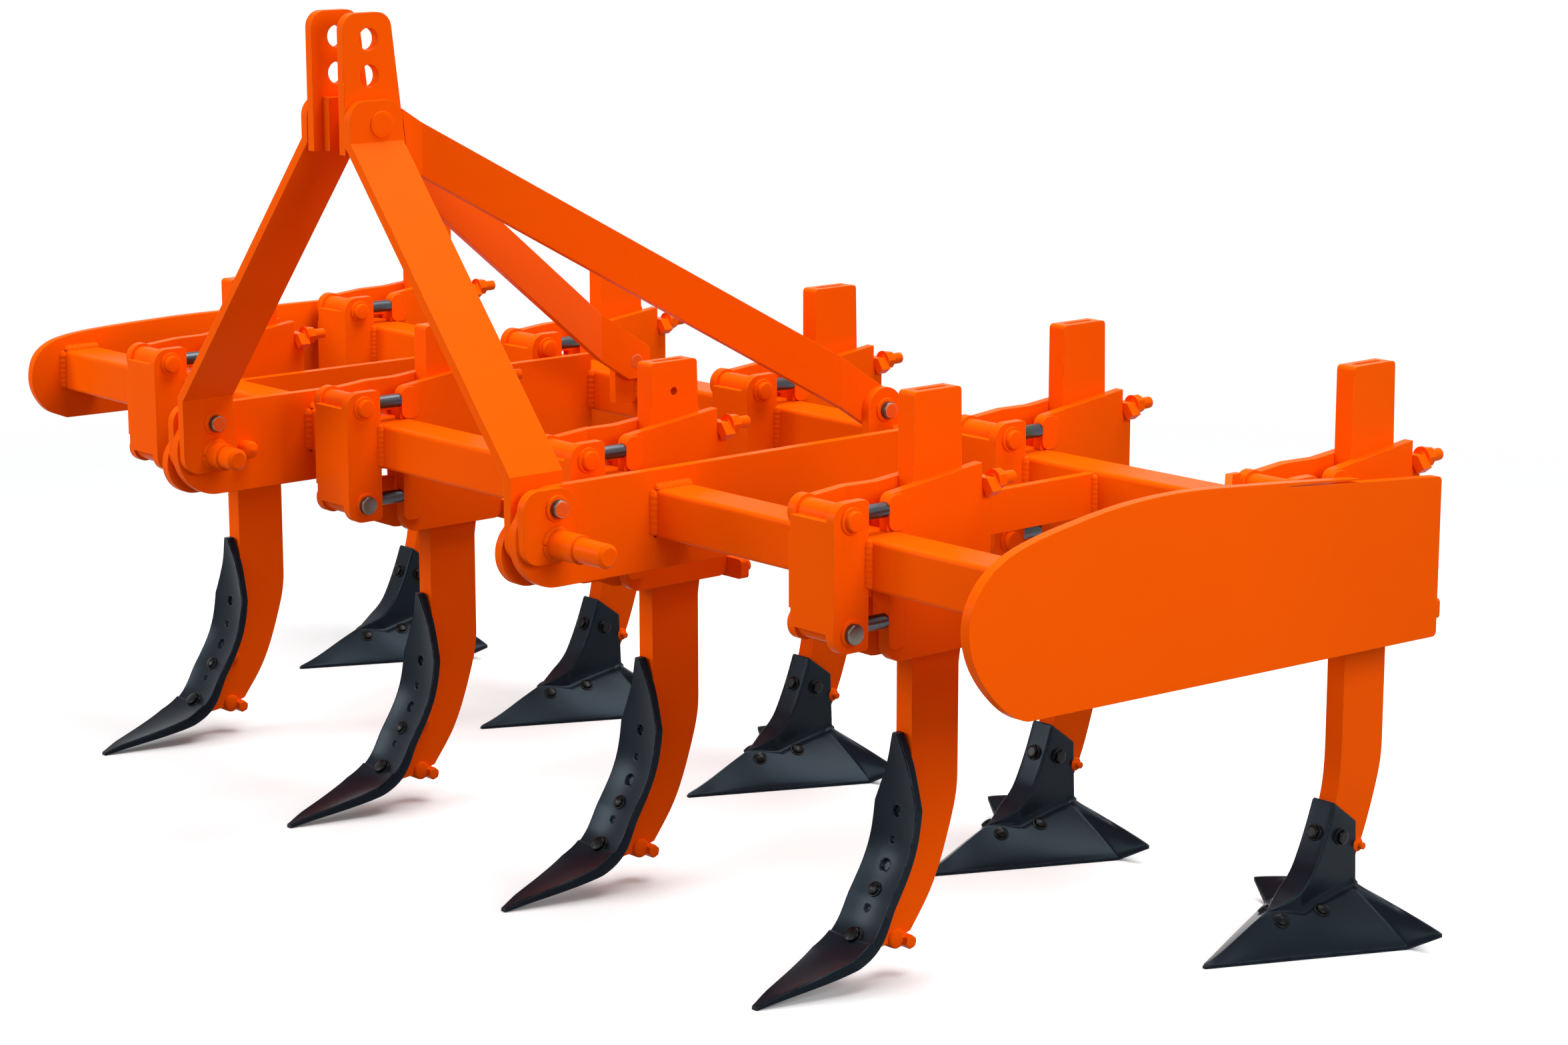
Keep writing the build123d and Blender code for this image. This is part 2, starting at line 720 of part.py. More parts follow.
for row in rows:
    y0 = row["y"]
    beam_face = y0 - beam_clear + seat_gap
    lug_face_y = y0 - lug_ahead
    holder_outline = [
        (lug_face_y, holder_top),
        (y0 + notch_ahead, holder_top + holder_slope),
        (y0 + notch_ahead, notch_z),
        (y0 + holder_back, notch_z),
        (y0 + holder_back, holder_bottom),
        (lug_face_y, holder_bottom),
        (lug_face_y, beam_bottom - seat_gap),
        (beam_face, beam_bottom - seat_gap),
        (beam_face, beam_top + seat_gap),
        (lug_face_y, beam_top + seat_gap),
    ]
    bolt_places = [(y0 - clamp_bolt_ahead, clamp_bolt_upper), (y0 - clamp_bolt_ahead, clamp_bolt_lower)]
    left_plates = {}
    for tine in row["tines"]:
        x0 = tine["x"]
        with BuildPart() as left_plate:
            plate_x = x0 - tine_thick / 2 - seat_gap - side_plate / 2
            arm_path = [
                (x0 - arm_side, y0 - clamp_bolt_ahead - eye_radius),
                (x0 - arm_side, y0 - beam_clear - arm_straight),
                (plate_x, y0 - beam_clear + arm_bend),
                (plate_x, y0 + holder_back),
            ]
            with BuildSketch(Plane.XY.offset(holder_bottom)):
                with BuildLine():
                    Polyline(bar_outline(arm_path, side_plate), close=True)
                make_face()
            extrude(amount=holder_top + holder_slope - holder_bottom)
            with BuildSketch(Plane.YZ.offset(x0 - 2 * arm_side)):
                with BuildLine():
                    Polyline(
                        (y0 - clamp_bolt_ahead, beam_top + arm_above),
                        (beam_face, beam_top + arm_above),
                        (beam_face, beam_bottom - arm_below),
                        (y0 - clamp_bolt_ahead, beam_bottom - arm_below),
                        (y0 - clamp_bolt_ahead, beam_bottom - arm_below - arm_depth),
                        (y0 - beam_clear, holder_bottom),
                        (y0 + holder_back, holder_bottom),
                        (y0 + holder_back, notch_z),
                        (y0 + notch_ahead, holder_top + holder_slope),
                        (y0 - clamp_bolt_ahead, beam_top + arm_above + arm_depth),
                        close=True,
                    )
                make_face()
                with Locations(*bolt_places):
                    Circle(eye_radius)
            extrude(amount=2 * arm_side, mode=Mode.INTERSECT)
        left_plates[tine["name"]] = left_plate.part
    with BuildPart() as holders:
        for tine in row["tines"]:
            x0 = tine["x"]
            right_face = x0 + tine_thick / 2 + seat_gap
            with BuildSketch(Plane.YZ.offset(right_face)) as right_sketch:
                with BuildLine():
                    Polyline(holder_outline, close=True)
                make_face()
                fillet(near(right_sketch, [holder_outline[0], holder_outline[4]]), radius=holder_round)
                fillet(near(right_sketch, [holder_outline[5]]), radius=holder_foot_round)
            extrude(amount=side_plate)
            lug_depth = lug_ahead - lug_back
            with BuildSketch(Plane.YZ.offset(right_face)):
                with Locations((lug_face_y + lug_depth / 2, beam_top + seat_gap + lug_upper_height / 2)):
                    RectangleRounded(lug_depth, lug_upper_height, lug_round)
                with Locations((lug_face_y + lug_depth / 2, beam_bottom - seat_gap - lug_lower_height / 2)):
                    RectangleRounded(lug_depth, lug_lower_height, lug_round)
            extrude(amount=side_plate + lug_proud)
            with BuildSketch(Plane.XY.offset(block_bottom)):
                with Locations((x0, y0 - beam_clear / 2)):
                    Rectangle(tine_thick + 4 * seat_gap, beam_clear - 2 * seat_gap)
            extrude(amount=block_top - block_bottom)
            add(left_plates[tine["name"]])
    save(holders.part, f"tine_holders_{row['name']}")

    bolt_mid_z = (clamp_bolt_upper + clamp_bolt_lower) / 2
    with BuildPart() as brackets:
        for tine in row["tines"]:
            x0 = tine["x"]
            sleeve_start = x0 - arm_side + side_plate / 2 + seat_gap
            ear_back = y0 - beam_ahead - seat_gap
            ear_front = y0 - bracket_front
            ear_outline = [
                (ear_front, clamp_bolt_lower - ear_below),
                (ear_front, clamp_bolt_upper + ear_above),
                (ear_back, clamp_bolt_upper + ear_above),
                (ear_back, clamp_bolt_lower - ear_below),
            ]
            with BuildSketch(Plane.YZ.offset(x0 + ear_inner)) as ear_sketch:
                with BuildLine():
                    Polyline(ear_outline, close=True)
                make_face()
                fillet(near(ear_sketch, ear_outline[:2]), radius=ear_round)
                fillet(near(ear_sketch, ear_outline[2:]), radius=ear_back_round)
            extrude(amount=ear_outer - ear_inner)
            with BuildSketch(Plane.XZ.offset(-ear_front)):
                with Locations(((x0 + ear_inner + sleeve_start) / 2, bolt_mid_z)):
                    Rectangle(x0 + ear_inner - sleeve_start, clamp_bolt_upper - clamp_bolt_lower)
                with Locations((x0, bolt_mid_z)):
                    Rectangle(2 * ear_inner, clamp_bolt_upper - clamp_bolt_lower - 2 * eye_radius - 2.0)
            extrude(amount=-bracket_plate)
            with BuildSketch(Plane.YZ.offset(sleeve_start)):
                with Locations(*bolt_places):
                    Circle(clamp_sleeve)
            extrude(amount=x0 + ear_inner - sleeve_start)
    save(brackets.part, f"clamp_brackets_{row['name']}")

    with BuildPart() as rods:
        rod_front = y0 - clamp_bolt_ahead + clamp_sleeve + seat_gap
        for tine in row["tines"]:
            x0 = tine["x"]
            with BuildSketch(Plane.XZ.offset(-rod_front)):
                with Locations((x0 + rod_side, clamp_bolt_upper), (x0 + rod_side, clamp_bolt_lower)):
                    Circle(rod_radius)
            extrude(amount=-(lug_face_y - seat_gap - rod_front))
    save(rods.part, f"tie_rods_{row['name']}")

    # Hooks in the notch of the right plate, and cross bars below, each with a threaded stud
    with BuildPart() as saddles:
        for tine in row["tines"]:
            x0 = tine["x"]
            hook_z = notch_z + seat_gap + hook_thick / 2
            hook_path = [
                (x0 - tine_thick / 2, hook_z),
                (x0 + stud_side + hook_flat, hook_z),
                (x0 + stud_side + hook_flat + hook_lip, hook_z - hook_drop),
            ]
            with BuildSketch(Plane.XZ.offset(-(y0 + notch_ahead + seat_gap))):
                with BuildLine():
                    Polyline(bar_outline(hook_path, hook_thick), close=True)
                make_face()
            extrude(amount=-(holder_back - notch_ahead))
            with BuildSketch(Plane.XY.offset(hook_z - hook_thick / 2)):
                wedge_front = y0 + head_depth + seat_gap
                wedge_back = y0 + notch_ahead + stud_in
                with Locations((x0, (wedge_front + wedge_back) / 2)):
                    Rectangle(tine_thick, wedge_back - wedge_front)
            extrude(amount=hook_thick)
            bar_face = y0 + holder_back + seat_gap
            with BuildSketch(Plane.XZ.offset(-bar_face)):
                with Locations((x0 + (stud_side - side_plate) / 2, holder_bottom + bar_rise)):
                    RectangleRounded(stud_side + side_plate + 2 * tine_thick, bar_height, bar_round)
            extrude(amount=-hook_thick)
            with BuildSketch(Plane.XZ.offset(-(bar_face - stud_in))):
                with Locations((x0 + stud_side, hook_z + stud_in)):
                    Circle(stud_radius)
            extrude(amount=-(y0 + stud_end - bar_face + stud_in))
            with BuildSketch(Plane.XZ.offset(-(bar_face + hook_thick / 2))):
                with Locations((x0 + stud_side, holder_bottom + bar_rise - stud_in)):
                    Circle(stud_radius)
            extrude(amount=-(y0 + stud_end - bar_face - hook_thick / 2))
    save(saddles.part, f"clamp_saddles_{row['name']}")

# Stay from the last rear clamp to the right end plate

stay_thick = 8.0
stay_lead = 15.0
stay_slant = 100.0
stay_foot = 55.0
stay_high = 42.0
stay_depth = 34.0
stay_fall = 38.0
stay_start = rows[1]["y"] - clamp_bolt_ahead - eye_radius - 2 * seat_gap
stay_bend = stay_start - stay_lead
stay_end = stay_bend - stay_slant - stay_foot
stay_x = rear_tines[-1]["x"] - arm_side
stay_end_x = end_plate_inner - stay_thick / 2 - seat_gap
stay_path = [
    (stay_x, stay_start),
    (stay_x, stay_bend),
    (stay_end_x, stay_bend - stay_slant),
    (stay_end_x, stay_end),
]
stay_outline = [
    (stay_start, beam_top + stay_high - stay_depth),
    (stay_start, beam_top + stay_high),
    (stay_bend, beam_top + stay_high),
    (stay_end, beam_top + stay_high - stay_fall),
    (stay_end, beam_top + stay_high - stay_fall - stay_depth),
]
with BuildPart() as stay:
    with BuildSketch(Plane.XY.offset(beam_bottom)):
        with BuildLine():
            Polyline(bar_outline(stay_path, stay_thick), close=True)
        make_face()
    extrude(amount=beam_size + stay_high)
    with BuildSketch(Plane.YZ.offset(stay_x - side_plate)):
        with BuildLine():
            Polyline(stay_outline, close=True)
        make_face()
    extrude(amount=end_plate_inner - stay_x + side_plate, mode=Mode.INTERSECT)
save(stay.part, "end_stay_right")
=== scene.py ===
# Looks for the field cultivator: paint, share steel, bolts, welds and a white studio.
import math

import bmesh
import bpy
import numpy as np
from mathutils import Matrix, Vector
from mathutils.bvhtree import BVHTree


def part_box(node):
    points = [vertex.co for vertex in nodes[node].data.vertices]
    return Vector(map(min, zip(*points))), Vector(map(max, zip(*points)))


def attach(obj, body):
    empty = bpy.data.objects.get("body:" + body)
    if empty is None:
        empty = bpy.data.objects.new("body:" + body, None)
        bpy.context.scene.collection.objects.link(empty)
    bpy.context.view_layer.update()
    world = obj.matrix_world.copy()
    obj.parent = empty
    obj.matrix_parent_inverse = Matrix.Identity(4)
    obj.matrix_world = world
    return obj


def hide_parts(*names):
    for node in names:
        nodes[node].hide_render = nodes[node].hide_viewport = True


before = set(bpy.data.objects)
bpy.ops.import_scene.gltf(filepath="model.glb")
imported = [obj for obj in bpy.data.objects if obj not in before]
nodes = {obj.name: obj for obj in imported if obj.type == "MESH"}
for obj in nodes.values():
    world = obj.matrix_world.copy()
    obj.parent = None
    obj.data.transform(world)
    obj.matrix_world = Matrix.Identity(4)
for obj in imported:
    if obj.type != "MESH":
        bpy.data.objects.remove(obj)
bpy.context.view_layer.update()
print("frame loaded:", len(nodes), "nodes")

scene = bpy.context.scene

# Camera: the photograph's own standpoint, turned by azimuth and elevation
cameraValues = {
    "position": (3.4683, -2.7605, 1.3091),
    "azimuth": 48.9455,
    "elevation": 11.8819,
    "lens": 82.67,
    "sensor": 36.0,
}
azimuth = math.radians(cameraValues["azimuth"])
elevation = math.radians(cameraValues["elevation"])
cameraRight = Vector((math.cos(azimuth), math.sin(azimuth), 0.0))
cameraBack = Vector((
    math.sin(azimuth) * math.cos(elevation),
    -math.cos(azimuth) * math.cos(elevation),
    math.sin(elevation),
))
cameraData = bpy.data.cameras.new("photoCamera")
cameraData.lens = cameraValues["lens"]
cameraData.sensor_width = cameraValues["sensor"]
cameraData.clip_end = 100.0
camera = bpy.data.objects.new("photoCamera", cameraData)
scene.collection.objects.link(camera)
place = Matrix((cameraRight, cameraBack.cross(cameraRight), cameraBack)).transposed().to_4x4()
place.translation = Vector(cameraValues["position"])
camera.matrix_world = place
scene.camera = camera
scene.view_settings.view_transform = "Standard"
print("camera placed")


# Node helpers

def addNode(tree, kind, x, y, **values):
    node = tree.nodes.new(kind)
    node.location = (x, y)
    for name, value in values.items():
        setattr(node, name, value)
    return node


def setInputs(node, values):
    for name, value in values.items():
        node.inputs[name].default_value = value


def newGroup(name, inputs, outputs):
    # inputs and outputs: (socket name, socket type, default or None)
    group = bpy.data.node_groups.new(name, "ShaderNodeTree")
    for socketName, kind, value in inputs:
        socket = group.interface.new_socket(socketName, in_out="INPUT", socket_type=kind)
        if value is not None:
            socket.default_value = value
    for socketName, kind, _ in outputs:
        group.interface.new_socket(socketName, in_out="OUTPUT", socket_type=kind)
    groupIn = addNode(group, "NodeGroupInput", -900, 0)
    groupOut = addNode(group, "NodeGroupOutput", 600, 0)
    return group, groupIn, groupOut


# Shared effects

def makePaintSurface():
    # Slight unevenness of a sprayed or rolled skin: a patchy shade value and a fine bumped normal.
    group, gin, gout = newGroup(
        "paintSurface",
        [
            ("Patch Scale", "NodeSocketFloat", 6.0),
            ("Patch Amount", "NodeSocketFloat", 0.06),
            ("Peel Scale", "NodeSocketFloat", 420.0),
            ("Peel Height", "NodeSocketFloat", 0.06),
            ("Edge Radius", "NodeSocketFloat", 0.0014),
        ],
        [("Shade", "NodeSocketFloat", None), ("Normal", "NodeSocketVector", None)],
    )
    links = group.links
    coords = addNode(group, "ShaderNodeTexCoord", -900, 300)
    patches = addNode(group, "ShaderNodeTexNoise", -600, 300)
    setInputs(patches, {"Detail": 3.0, "Roughness": 0.55})
    links.new(coords.outputs["Object"], patches.inputs["Vector"])
    links.new(gin.outputs["Patch Scale"], patches.inputs["Scale"])
    centred = addNode(group, "ShaderNodeMath", -400, 300, operation="SUBTRACT")
    centred.inputs[1].default_value = 0.5
    links.new(patches.outputs["Fac"], centred.inputs[0])
    scaled = addNode(group, "ShaderNodeMath", -200, 300, operation="MULTIPLY_ADD")
    scaled.inputs[2].default_value = 1.0
    links.new(centred.outputs[0], scaled.inputs[0])
    links.new(gin.outputs["Patch Amount"], scaled.inputs[1])
    links.new(scaled.outputs[0], gout.inputs["Shade"])
    peel = addNode(group, "ShaderNodeTexNoise", -600, -100)
    setInputs(peel, {"Detail": 2.0, "Roughness": 0.5})
    links.new(coords.outputs["Object"], peel.inputs["Vector"])
    links.new(gin.outputs["Peel Scale"], peel.inputs["Scale"])
    rounded = addNode(group, "ShaderNodeBevel", -400, -300, samples=4)
    links.new(gin.outputs["Edge Radius"], rounded.inputs["Radius"])
    bump = addNode(group, "ShaderNodeBump", -100, -100)
    bump.inputs["Distance"].default_value = 0.0004
    links.new(gin.outputs["Peel Height"], bump.inputs["Strength"])
    links.new(peel.outputs["Fac"], bump.inputs["Height"])
    links.new(rounded.outputs["Normal"], bump.inputs["Normal"])
    links.new(bump.outputs["Normal"], gout.inputs["Normal"])
    return group


def makeEdgeHighlightMask():
    # Where the painted edge highlight goes: one on rounded edges, nought on flat faces: how far the
    # rounded normal leaves the true one.
    group, gin, gout = newGroup(
        "edgeHighlightMask",
        [("Radius", "NodeSocketFloat", 0.002), ("Break Up", "NodeSocketFloat", 60.0)],
        [("Mask", "NodeSocketFloat", None)],
    )
    links = group.links
    rounded = addNode(group, "ShaderNodeBevel", -700, 100, samples=4)
    links.new(gin.outputs["Radius"], rounded.inputs["Radius"])
    true = addNode(group, "ShaderNodeNewGeometry", -700, -100)
    dot = addNode(group, "ShaderNodeVectorMath", -500, 0, operation="DOT_PRODUCT")
    links.new(rounded.outputs["Normal"], dot.inputs[0])
    links.new(true.outputs["Normal"], dot.inputs[1])
    spread = addNode(group, "ShaderNodeMapRange", -300, 0)
    setInputs(spread, {"From Min": 0.995, "From Max": 0.90, "To Min": 0.0, "To Max": 1.0})
    links.new(dot.outputs["Value"], spread.inputs["Value"])
    coords = addNode(group, "ShaderNodeTexCoord", -700, -350)
    noise = addNode(group, "ShaderNodeTexNoise", -500, -350)
    setInputs(noise, {"Detail": 5.0, "Roughness": 0.65})
    links.new(coords.outputs["Object"], noise.inputs["Vector"])
    links.new(gin.outputs["Break Up"], noise.inputs["Scale"])
    patch = addNode(group, "ShaderNodeMapRange", -300, -350)
    setInputs(patch, {"From Min": 0.36, "From Max": 0.6})
    links.new(noise.outputs["Fac"], patch.inputs["Value"])
    both = addNode(group, "ShaderNodeMath", 100, 0, operation="MULTIPLY")
    links.new(spread.outputs["Result"], both.inputs[0])
    links.new(patch.outputs["Result"], both.inputs[1])
    links.new(both.outputs[0], gout.inputs["Mask"])
    return group


paintSurface = makePaintSurface()
edgeHighlightMask = makeEdgeHighlightMask()


def useGroup(tree, group, x, y, values):
    node = addNode(tree, "ShaderNodeGroup", x, y)
    node.node_tree = group
    setInputs(node, values)
    return node


def newMaterial(name):
    material = bpy.data.materials.new(name)
    material.use_nodes = True
    tree = material.node_tree
    tree.nodes.clear()
    output = addNode(tree, "ShaderNodeOutputMaterial", 900, 0)
    shader = addNode(tree, "ShaderNodeBsdfPrincipled", 600, 0)
    tree.links.new(shader.outputs["BSDF"], output.inputs["Surface"])
    return material, tree, shader


def coatedMetal(name, values):
    # A patchy colour with a painted highlight, a paler tone, on the rounded edges, over one
    # Principled shader.
    material, tree, shader = newMaterial(name)
    surface = useGroup(tree, paintSurface, -400, 0, values["surface"])
    edges = useGroup(tree, edgeHighlightMask, -400, -300, values["edges"])
    tint = addNode(tree, "ShaderNodeMix", -100, 100, data_type="RGBA", blend_type="MULTIPLY")
    tint.inputs["Factor"].default_value = 1.0
    tint.inputs["A"].default_value = values["colour"]
    tree.links.new(surface.outputs["Shade"], tint.inputs["B"])
    # The painted edge highlight: the mask, scaled, mixes the paler edge tone over the patchy colour
    amount = addNode(tree, "ShaderNodeMath", -100, -300, operation="MULTIPLY")
    amount.inputs[1].default_value = values["edgeHighlightAmount"]
    tree.links.new(edges.outputs["Mask"], amount.inputs[0])
    mix = addNode(tree, "ShaderNodeMix", 200, 100, data_type="RGBA")
    mix.inputs["B"].default_value = values["edgeHighlightColour"]
    tree.links.new(amount.outputs[0], mix.inputs["Factor"])
    tree.links.new(tint.outputs["Result"], mix.inputs["A"])
    tree.links.new(mix.outputs["Result"], shader.inputs["Base Color"])
    tree.links.new(surface.outputs["Normal"], shader.inputs["Normal"])
    setInputs(shader, values["shader"])
    return material


# Sprayed orange paint, with a painted highlight in paler orange along its rounded edges
orangeValues = {
    "colour": (0.90, 0.098, 0.0006, 1.0),
    "edgeHighlightColour": (1.0, 0.235, 0.014, 1.0),
    "edgeHighlightAmount": 0.6,
    "surface": {"Patch Scale": 5.0, "Patch Amount": 0.07, "Peel Scale": 380.0, "Peel Height": 0.05},
    "edges": {"Radius": 0.0017},
    "shader": {
        "Roughness": 0.28,
        "Specular IOR Level": 0.015,
        "Specular Tint": (1.0, 0.60, 0.30, 1.0),
    },
}
# Blue-black share steel, semi-gloss, with a painted highlight in paler steel along its rounded
# edges
shareValues = {
    "colour": (0.0050, 0.0072, 0.0115, 1.0),
    "edgeHighlightColour": (0.085, 0.098, 0.122, 1.0),
    "edgeHighlightAmount": 0.6,
    "surface": {"Patch Scale": 16.0, "Patch Amount": 0.6, "Peel Scale": 240.0, "Peel Height": 0.12},
    "edges": {"Radius": 0.0020},
    "shader": {
        "Roughness": 0.28,
        "Specular IOR Level": 0.11,
        "Specular Tint": (0.55, 0.80, 1.0, 1.0),
    },
}
# Bare steel of rods, a little brown and blue from heat, with a painted highlight in paler grey
# along its rounded edges
rodValues = {
    "colour": (0.065, 0.070, 0.080, 1.0),
    "edgeHighlightColour": (0.30, 0.31, 0.32, 1.0),
    "edgeHighlightAmount": 0.6,
    "surface": {"Patch Scale": 45.0, "Patch Amount": 0.7, "Peel Scale": 900.0, "Peel Height": 0.15},
    "edges": {"Radius": 0.0010},
    "shader": {"Roughness": 0.32, "Metallic": 0.9},
}
# Plated bolts, with a painted highlight, nearly white, at their rims
platedValues = dict(
    rodValues,
    colour=(0.12, 0.105, 0.09, 1.0),
    edgeHighlightColour=(0.85, 0.82, 0.78, 1.0),
    edgeHighlightAmount=0.9,
    edges={"Radius": 0.0008},
)
# Blackened bolts, in the shares and in a few clamps, with a faint painted highlight along their
# rounded edges
blackValues = dict(
    shareValues,
    colour=(0.0016, 0.0019, 0.0026, 1.0),
    edgeHighlightColour=(0.05, 0.055, 0.065, 1.0),
    edgeHighlightAmount=0.35,
    edges={"Radius": 0.0006},
    shader={"Roughness": 0.25, "Specular IOR Level": 0.12},
)
# Thin overspray on a bolt face, copper in tone, with a painted highlight in pale copper along its
# rounded edges
copperValues = dict(
    orangeValues,
    colour=(0.74, 0.10, 0.012, 1.0),
    edgeHighlightColour=(0.95, 0.55, 0.38, 1.0),
    edgeHighlightAmount=0.8,
)

orangePaint = coatedMetal("orangePaint", orangeValues)
shareSteel = coatedMetal("shareSteel", shareValues)
rodSteel = coatedMetal("rodSteel", rodValues)
platedSteel = coatedMetal("platedSteel", platedValues)
blackSteel = coatedMetal("blackSteel", blackValues)
copperPaint = coatedMetal("copperPaint", copperValues)

for name, obj in nodes.items():
    material = orangePaint
    if name.startswith(("shovel", "sweep")):
        material = shareSteel
    if name.startswith("tie_rods"):
        material = rodSteel
    obj.data.materials.clear()
    obj.data.materials.append(material)
print("materials made")


# Surfaces worked out on grids

def surface(points, closed=False, capped=False):
    # Quads between the rows and columns of a grid of points. closed joins the last column to the
    # first, capped shuts the two end rows.
    rows, columns, _ = points.shape
    row = np.arange(rows - 1)[:, None] * columns
    column = np.arange(columns if closed else columns - 1)[None, :]
    following = (column + 1) % columns
    corners = (row + column, row + following, row + columns + following, row + columns + column)
    faces = np.stack(corners, -1).reshape(-1, 4).tolist()
    if capped:
        faces.append(list(range(columns)))
        faces.append(list(range((rows - 1) * columns, rows * columns)))
    return points.reshape(-1, 3), faces


def sideways(axis):
    # The axis at length one, and two directions square to it and to each other. The helper is any
    # direction well away from the axis.
    axis = np.asarray(axis, float) / np.linalg.norm(axis)
    helper = np.array((0.0, 0.0, 1.0)) if abs(axis[2]) < 0.9 else np.array((0.0, 1.0, 0.0))
    first = np.cross(helper, axis)
    first = first / np.linalg.norm(first)
    return axis, first, np.cross(axis, first)


def turned(centre, axis, profile, count=32):
    # Point(s, t) = centre + axis * along(s) + radius(s) * (first * cos t + second * sin t),
    # for profile rows (along, radius).
    axis, first, second = sideways(axis)
    along, radius = np.asarray(profile, float).T
    angle = np.linspace(0.0, 2.0 * np.pi, count, endpoint=False)[:, None]
    ring = np.cos(angle) * first + np.sin(angle) * second
    points = np.asarray(centre) + along[:, None, None] * axis + radius[:, None, None] * ring
    return surface(points, closed=True, capped=True)


def rimProfile(radius, start, end, edge, dome=0.0):
    # Rows (along, radius): a straight side, a quarter round of the edge's radius, then a face that
    # rises by dome to its middle as one less the square of the reach.
    turn = np.linspace(0.0, np.pi / 2.0, 5)
    rim = np.stack((end - edge + edge * np.sin(turn), radius - edge + edge * np.cos(turn)), 1)
    reach = np.array((0.6, 0.3, 0.05))  # shares of the face's radius, towards its middle
    face = np.stack((end + dome * (1.0 - reach**2), (radius - edge) * reach), 1)
    return np.concatenate(([[start, radius]], rim, face))


def disc(spot, axis, shape, radius=None, count=32):
    # A turned washer, ring or head, sunk a little in its seat and standing proud of it.
    radius = shape["radius"] if radius is None else radius
    dome = shape.get("dome", 0.0)
    profile = rimProfile(radius, -shape["sink"], shape["proud"], shape["edge"], dome)
    return turned(spot, axis, profile, count)


def hexagonal(centre, axis, flats, start, end, spin=0.0):
    # Point(s, t) lies at the smaller of the hexagon's radius, flats / 2 / cos(t from the nearest
    # flat), and a cone's radius at that height, which rounds the corners off.
    axis, first, second = sideways(axis)
    angle = np.arange(48) * np.pi / 24.0
    hexRadius = flats / 2.0 / np.cos(angle % (np.pi / 3.0) - np.pi / 6.0)
    corner = flats / 2.0 / math.cos(math.pi / 6.0)
    topRadius, coneSlope = 0.47 * flats, 0.6
    faceRadii = [0.3 * flats, 0.04 * flats]
    drop = corner - topRadius
    share = np.array((0.0, 0.35, 0.7, 1.0))
    along = np.concatenate(([start], end - drop * coneSlope * (1.0 - share), [end, end]))
    cone = np.concatenate(([corner], corner - drop * share, faceRadii))
    radius = np.minimum(hexRadius[None, :], cone[:, None])[:, :, None]
    ring = np.cos(angle + spin)[:, None] * first + np.sin(angle + spin)[:, None] * second
    points = np.asarray(centre) + along[:, None, None] * axis + radius * ring
    return surface(points, closed=True, capped=True)


# Every weld: how full its face is, and in legs the ripples' spacing and the root's depth
beadValues = {"fullness": 1.3, "ripple": 1.15, "root": 0.15, "endSize": 0.02, "perLeg": 5}


def weldBead(line, first, second, leg, rib=0.16):
    # Point(s, a) = line(s) + leg * size(s) * (first * cos(a)^fullness + second * sin(a)^fullness),
    # a from 0 to 90 degrees. first and second run along the two faces, away from their corner. size
    # swells by rib at each ripple and closes in a quarter round at both ends.
    values = beadValues
    line = np.asarray(line, float)
    first = np.broadcast_to(np.asarray(first, float), line.shape)
    second = np.broadcast_to(np.asarray(second, float), line.shape)
    reach = np.concatenate(([0.0], np.cumsum(np.linalg.norm(np.diff(line, axis=0), axis=1))))
    station = np.linspace(0.0, reach[-1], max(8, int(reach[-1] / leg * values["perLeg"])))

    def atStations(rows):
        return np.stack([np.interp(station, reach, rows[:, k]) for k in range(3)], 1)

    line, first, second = atStations(line), atStations(first), atStations(second)
    toEnd = np.minimum(station, station[-1] - station) / leg
    size = np.sqrt(np.clip(1.0 - (1.0 - np.clip(toEnd, 0.0, 1.0)) ** 2, values["endSize"], 1.0))
    size = size * (1.0 + rib * np.abs(np.sin(np.pi * station / (values["ripple"] * leg))))
    turn = np.linspace(0.0, np.pi / 2.0, 6)
    face = (
        first[:, None] * (np.cos(turn) ** values["fullness"])[None, :, None]
        + second[:, None] * (np.sin(turn) ** values["fullness"])[None, :, None]
    )
    bead = line[:, None] + leg * size[:, None, None] * face
    root = (line - values["root"] * leg * (first + second))[:, None]
    return surface(np.concatenate((bead, root), 1), closed=True, capped=True)


def smoothStep(value):
    value = np.clip(value, 0.0, 1.0)
    return value * value * (3.0 - 2.0 * value)


def curveThrough(points, perSpan):
    # Cubic spans that leave and enter each point along the line between its neighbours.
    points = np.asarray(points, float)
    slopes = np.gradient(points, axis=0)
    t = np.linspace(0.0, 1.0, perSpan, endpoint=False)[None, :, None]
    spans = (
        points[:-1, None] * (2 * t**3 - 3 * t**2 + 1)
        + slopes[:-1, None] * (t**3 - 2 * t**2 + t)
        + points[1:, None] * (3 * t**2 - 2 * t**3)
        + slopes[1:, None] * (t**3 - t**2)
    )
    return np.concatenate((spans.reshape(-1, points.shape[1]), points[-1:]))


def makePiece(name, parts, material, sharp=35.0, replaced=()):
    # Joins parts, each its points and faces, into one mesh whose faces point outwards.
    points = []
    faces = []
    start = 0
    for partPoints, partFaces in parts:
        points.append(partPoints)
        faces.extend([corner + start for corner in face] for face in partFaces)
        start += len(partPoints)
    mesh = bpy.data.meshes.new(name)
    mesh.from_pydata(np.concatenate(points).tolist(), [], faces)
    outward = bmesh.new()
    outward.from_mesh(mesh)
    bmesh.ops.remove_doubles(outward, verts=outward.verts, dist=1e-6)
    bmesh.ops.recalc_face_normals(outward, faces=outward.faces)
    outward.to_mesh(mesh)
    outward.free()
    mesh.shade_smooth()
    mesh.set_sharp_from_angle(angle=math.radians(sharp))
    mesh.materials.append(material)
    piece = bpy.data.objects.new(name, mesh)
    scene.collection.objects.link(piece)
    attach(piece, "root")
    if replaced:
        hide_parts(*replaced)
    return piece


def seatOn(tree, start, direction):
    # Where a line from start first meets a surface, and which way that face looks.
    hit, normal, _, _ = tree.ray_cast(Vector(start), Vector(direction))
    if normal.dot(Vector(direction)) > 0.0:
        normal = -normal
    return np.array(hit), np.array(normal)


def middle(nodeName, side):
    low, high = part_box(nodeName)
    return (low[side] + high[side]) / 2.0


